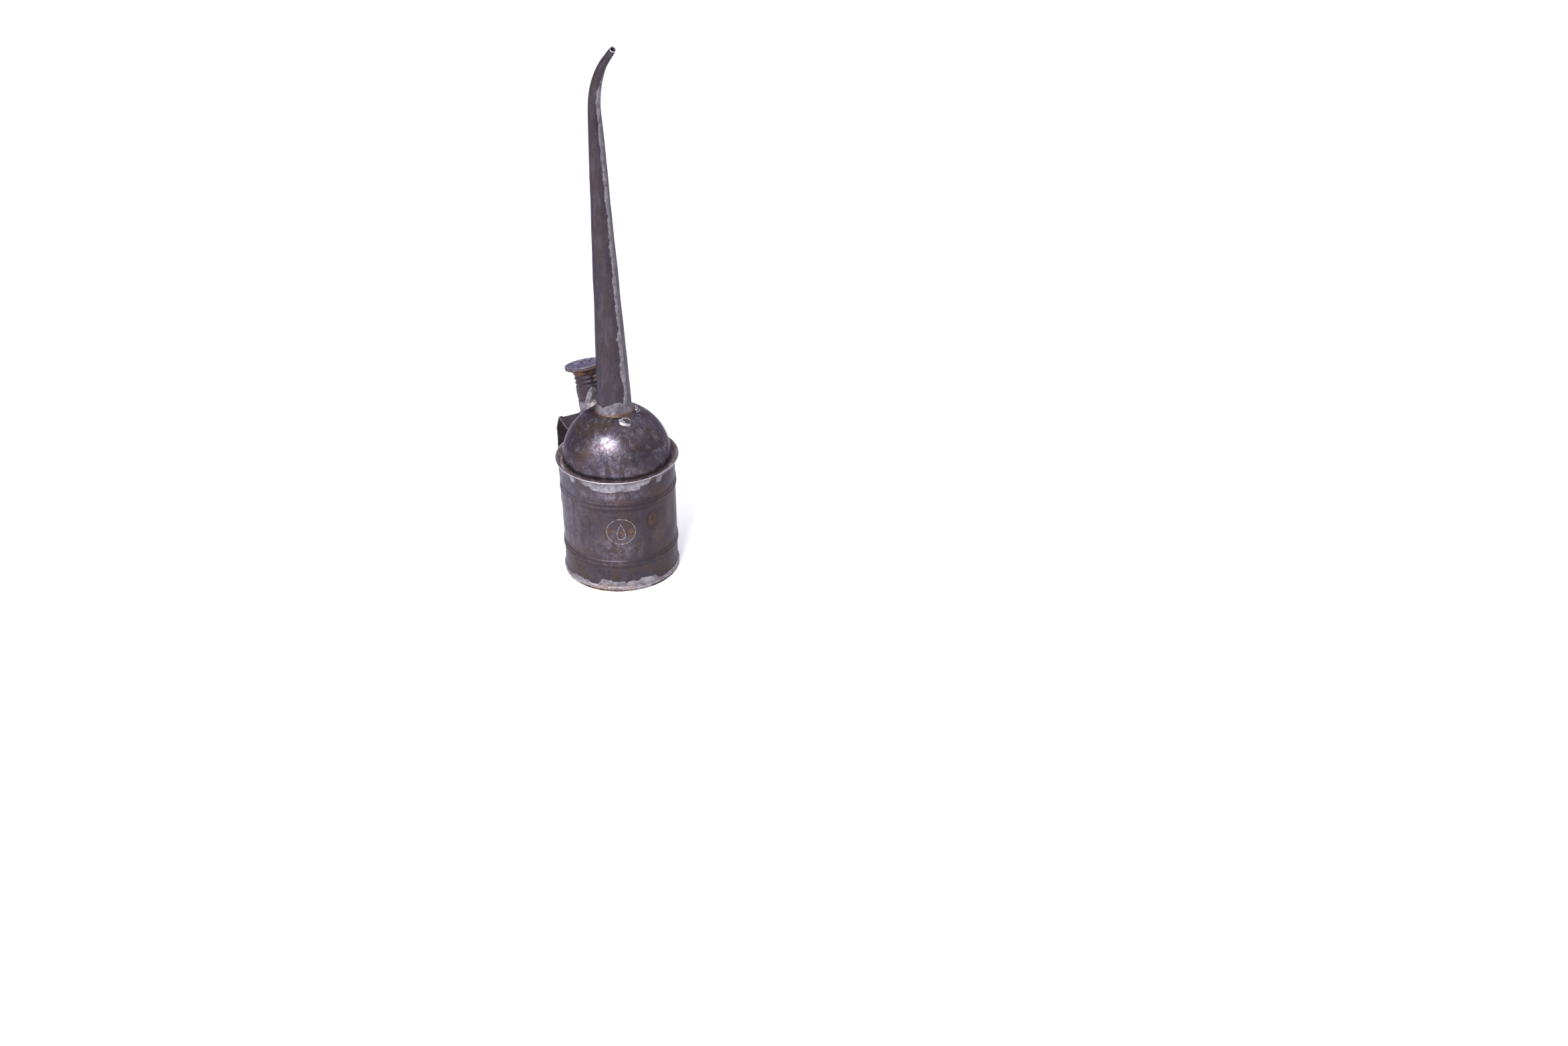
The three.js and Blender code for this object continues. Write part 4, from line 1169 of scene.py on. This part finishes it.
def makeCap():
    r, low, high, dish = cap["radius"], cap["under"], cap["rim"], cap["dish"]
    outline = [(0.01, low), (11.5, low), (12.6, low + 0.1), (r - 0.6, low + 0.15)]
    outline += arc((r - 0.5, low + 0.65), 0.5, -80, 0, 5) + [(r, high - 0.5)]
    outline += arc((r - 0.45, high - 0.45), 0.45, 0, 120, 7)
    outline += arc((r - cap["rimWidth"], high + 0.35), 0.5, 300, 240, 5)
    outline += [(12.2, high - 0.5), (10.4, dish + 0.4), (8.0, dish + 0.12), (5.5, dish), (0.01, dish)]
    profile = finer(outline, 0.5)
    angle = circle(cap["teeth"] * 6)[None, :]
    flat, z = revolved(profile, angle)
    onKnurl = rise(z, low + 0.5, low + 0.9) * (1 - rise(z, high - 0.8, high - 0.4))
    onKnurl = onKnurl * rise(flat, r - 0.4, r - 0.2)
    tooth = np.abs(np.sin(angle * cap["teeth"] / 2))
    radius = flat - cap["knurl"] * onKnurl * (1 - tooth)
    bare = onNeck(angle, z, radius)
    isTop = rise(z, high - 2.2, high - 1.5) * (1 - rise(flat, 13.6, 14.2))
    x, y = radius * np.cos(angle), radius * np.sin(angle)
    buckle = ripple(bare, 11, 4) * 0.7 * (1 - rise(flat, 9, 13.5))
    z = z + isTop * (buckle + 0.35 * hump(x + 3 + y * 0.4, 0, 2.5) * hump(flat, 0, 9))
    points = onNeck(angle, z, radius)
    facing = degreesFrom(angle, -95)
    # Rust and darker colour between the knurl's teeth and below the cap, bare teeth and rim, and a top
    # lightened by painted sheen.
    rust = onKnurl * (0.25 + 0.9 * hump(facing, 10, 35)) * (1.25 - tooth)
    rust = rust + (1 - rise(z, low, low + 0.5)) * 0.9
    grimeAndShade = onKnurl * (1 - tooth) * 0.8 + isTop * hump(flat, 13.2, 0.6) * 0.6
    wornAndGlint = hump(flat, r - 0.35, 0.35) * rise(z, high - 0.5, high - 0.1) + onKnurl * tooth**3 * 0.75
    # Painted sheen: the top is lighter because it faces up to the light.
    paleAndSheen = isTop * 0.9
    marks = {"rust": rust, "grimeAndShade": grimeAndShade, "wornAndGlint": wornAndGlint * 0.8, "paleAndSheen": paleAndSheen}
    lid = skin("fillerCap", points, marks=marks, capped=True)
    settle(lid, "cap", ["filler_cap"], agedSteel("capSteel", capLook, marks))

    angle = circle(220)[None, :]
    outer = np.concatenate([np.linspace(plug["foot"], 0, 70), [0.8, plug["top"]]])
    rows = np.concatenate([outer, [plug["top"], 0.0], np.linspace(-1, plug["foot"], 9)])
    isOuter = outside(rows.size, outer.size)
    z = np.repeat(rows[:, None], angle.size, axis=1)
    share = threadShare(z, 0.0, plug["foot"])
    thread = plug["root"] + neck["depth"] * share * (1 - threadWave(angle, z, 0.8))
    radius = np.where(isOuter, thread, plug["bore"])
    points = onNeck(angle, z, radius)
    crest = share * (1 - threadWave(angle, z)) ** 2 * isOuter
    rust = rise(ripple(points, 5, 5), -0.2, 0.1) * 0.7 * (1 - crest)
    marks = {"rust": rust, "wornAndGlint": crest * 0.8, "grimeAndShade": (1 - crest) * 0.5}
    screw = skin("capScrewShell", points, loop=True, marks=marks)
    finish = agedSteel("screwSteel", rustyLook, marks)
    settle(screw, "cap", ["cap_screw_shell"], finish)

    # The solder inside the shell's top runs from the cap's underside, at v = 0, down the shell.
    def place(u, v, lift):
        radius = plug["bore"] - 0.3 - (1.6 - v) ** 2 * 0.6 - lift
        return onNeck(u, plug["top"] - v * 0.9 - lift * 0.5, radius)

    u = angle[0]
    high = 1.45 + ragged(u * 7, 4, 3.0) * 0.5
    joint = coat("capShellSolder", place, u, u * 0, high, 0.2, rows=10, loop=True)
    settle(joint, "cap", ["cap_shell_solder"], solderSkin("capSolder", wallSolder))


makeCap()

washer = {"radius": 11.4, "bore": 9.05, "low": 0.3, "high": 1.5, "edge": 0.35, "grain": 1600.0}


def leather():
    f = Finish("oiledLeather")
    sockets = {"Vector": f.place, "Scale": washer["grain"]}
    grain = f.node("ShaderNodeTexVoronoi", {"feature": "DISTANCE_TO_EDGE"}, sockets)
    blotch = f.pattern("blotch")
    colour = f.blend(blotch, tone(58, 38, 24), tone(98, 66, 40))
    colour = f.blend(f.pattern("oil") * 0.6, colour, tone(30, 20, 14))
    return f.complete(colour, 0.62 - blotch * 0.2, 0.0, f.step(grain, 0.0, 0.12) + f.cloud(0.8) * 0.5, 0.08)


def makeWasher():
    low, high, out, bore = washer["low"], washer["high"], washer["radius"], washer["bore"]
    edge = washer["edge"]
    outline = [(bore + 0.15, low)] + arc((out - edge, low + edge), edge, -90, 0)
    outline += arc((out - edge, high - edge), edge, 0, 90)
    outline += [(bore + 0.15, high), (bore, high - 0.2), (bore, low + 0.2)]
    profile = finer(outline, 0.5)
    angle = circle(180)[None, :]
    flat, z = revolved(profile, angle)
    radius = flat + ripple(onNeck(angle, z, flat), 4, 2) * 0.45 * rise(flat, 10.4, 11.2)
    points = onNeck(angle, z, radius)
    settle(skin("capWasher", points, loop=True), "washer", ["cap_washer"], leather())


makeWasher()


# Handle: a strap with hemmed edges, bent to shape and soldered on by a foot at each end.
# Its own frame has +Y out of the body, turned about Z from the neck's side.

handle = {
    "turn": math.radians(-8.8),
    "half": 10.0,
    "strap": 0.8,
    "hem": 3.0,
    "hemRise": 0.8,
    "lapRadius": 41.5,
    "corners": [  # out from the can's axis and up
        (41.9, 74.8), (41.9, 81.2), (74, 90.4), (79, 79.6), (79.6, 13.4), (41.9, 12.6), (41.9, 7.2),
    ],
    "bends": [1.5, 2, 3, 5, 1.5],
}
handleLook = {
    "streak": 0.6, "warmth": 0.5, "mottle": 0.3, "hairs": 0.3, "scuff": 0.15, "smudge": 0.3,
    "rust": 0.15, "shade": 0.28, "glow": 0.8, "rough": 0.34, "metal": 0.75, "relief": 0.07,
}


def roundedLine(corners, radii, step):
    line = [corners[0]]
    for before, corner, after, radius in zip(corners, corners[1:], corners[2:], radii):
        p = np.array(corner)
        back, on = np.subtract(before, p), np.subtract(after, p)
        back, on = back / np.linalg.norm(back), on / np.linalg.norm(on)
        half = math.acos(np.clip(back @ on, -1, 1)) / 2
        centre = p + (back + on) / np.linalg.norm(back + on) * radius / math.sin(half)
        start, end = p + back * radius / math.tan(half) - centre, p + on * radius / math.tan(half) - centre
        sweep = math.atan2(start[0] * end[1] - start[1] * end[0], start @ end)
        for t in np.linspace(0, sweep, 14):
            c, s = math.cos(t), math.sin(t)
            line.append(tuple(centre + (start[0] * c - start[1] * s, start[0] * s + start[1] * c)))
    return finer(line + [corners[-1]], step)


def turnHandle(x, y, z):
    s, c = math.sin(handle["turn"]), math.cos(handle["turn"])
    return stack(x * c - y * s, x * s + y * c, z)


def makeHandle():
    line = roundedLine(handle["corners"], handle["bends"], 0.9)
    way = np.gradient(line, axis=0)
    way /= np.linalg.norm(way, axis=1, keepdims=True)
    outward = np.stack([-way[:, 1], way[:, 0]], axis=1)
    half, thin, hem = handle["half"], handle["strap"] / 2, handle["hem"]
    top = thin + handle["hemRise"]
    fold = (top + thin) / 2
    right = arc((half - fold, (top - thin) / 2), fold, -90, 90, 9)
    right += [(half - 1.6, top), (half - hem + 0.3, top)]
    right += arc((half - hem + 0.3, top - 0.3), 0.3, 90, 180, 4) + [(half - hem - 0.02, thin - 0.12)]
    right += [(half - hem - 0.3, thin)]
    left = [(-x, n) for x, n in right[::-1]]
    section = finer([(0, -thin)] + right + [(0, thin)] + left + [(0, -thin)], 0.8)[:-1]
    across, out = section[:, 0][None, :], section[:, 1][None, :]
    y = line[:, :1] + outward[:, :1] * out
    z = line[:, 1:] + outward[:, 1:] * out
    x = np.repeat(across, line.shape[0], axis=0)
    foot = 1 - rise(line[:, :1], 42.3, 46)
    drop = handle["lapRadius"] - np.sqrt(handle["lapRadius"] ** 2 - across**2)  # the feet follow the wall
    y = y - foot * drop
    bare = stack(x, y, z)
    sway = ripple(bare, 20, 5) * 0.5 * (1 - foot) + ripple(bare, 6, 2) * 0.06
    y, z = y + outward[:, :1] * sway, z + outward[:, 1:] * sway
    x = x + ripple(stack(line[:, :1], line[:, 1:], np.sign(x) * 3), 14, 2) * 0.5 * (np.abs(across) / half)
    points = turnHandle(x, y, z)
    # Bare along the edges and the hem's crease, dark beside the hem, rusty inside and at the feet.
    rim = hump(np.abs(across), half, 0.55)
    crease = hump(np.abs(across), half - hem, 0.25) * (out > thin - 0.2)
    wornAndGlint = rim * 0.5 + crease * 0.5 + 0.3 * hump(np.abs(across), half - hem, 0.25) * (out < 0)
    grimeAndShade = hump(np.abs(across), half - hem - 0.3, 0.5) * (out > 0) * 0.8 + (out < -0.2) * 0.25
    rust = (out < 0) * rise(ripple(bare, 12, 7), 0.05, 0.25) * 0.5
    rust = rust + foot * 0.4 * rise(ripple(bare, 5, 3), 0, 0.2)
    spread = np.zeros(points.shape[:2])
    marks = {"wornAndGlint": wornAndGlint + spread, "grimeAndShade": grimeAndShade + spread, "rust": rust + spread}
    strap = skin("handleStrap", points, capped=True, marks=marks)
    finish = agedSteel("handleSteel", handleLook, marks)
    settle(strap, "can", ["handle_strap"], finish)


makeHandle()

footPatch = {"reach": 13.2, "taper": 3.0, "thick": 0.35}
feet = {
    "handleTopSolder": {"node": "handle_top_solder", "low": 73.6, "high": 79.4, "end": 74.8},
    "handleBottomSolder": {"node": "handle_bottom_solder", "low": 7.4, "high": 13.6, "end": 7.2},
}


def makeHandleSolder(name, foot):
    u = np.linspace(-footPatch["reach"], footPatch["reach"], 150)
    edge = np.clip((footPatch["reach"] - np.abs(u)) / footPatch["taper"], 0.15, 1) ** 0.5
    middle = (foot["low"] + foot["high"]) / 2
    half = (foot["high"] - foot["low"]) / 2 * edge
    low = middle - half * (1 + ragged(u, 5, 2.0) * 0.5)
    high = middle + half * (1 + ragged(u, 4, 8.0) * 0.6)

    def place(u, v, lift):
        angle = math.pi / 2 - u / shell["radius"]
        radius = wallRadius(v) + lift
        return turnHandle(radius * np.cos(angle), radius * np.sin(angle), v)

    # It stands higher along the strap's two sides and over its end.
    def mound(u, v, share):
        side = handle["half"] + 0.5
        beside = 1.5 * hump(np.abs(u), side, 1.5) * np.sin(np.pi * share) ** 0.5
        return beside + 0.9 * hump(v, foot["end"], 1.4) * (np.abs(u) < side)

    patch = coat(name, place, u, low, high, footPatch["thick"], rows=24, lift=mound)
    settle(patch, "can", [foot["node"]], solderSkin(name + "Skin", wallSolder))


for footName, foot in feet.items():
    makeHandleSolder(footName, foot)
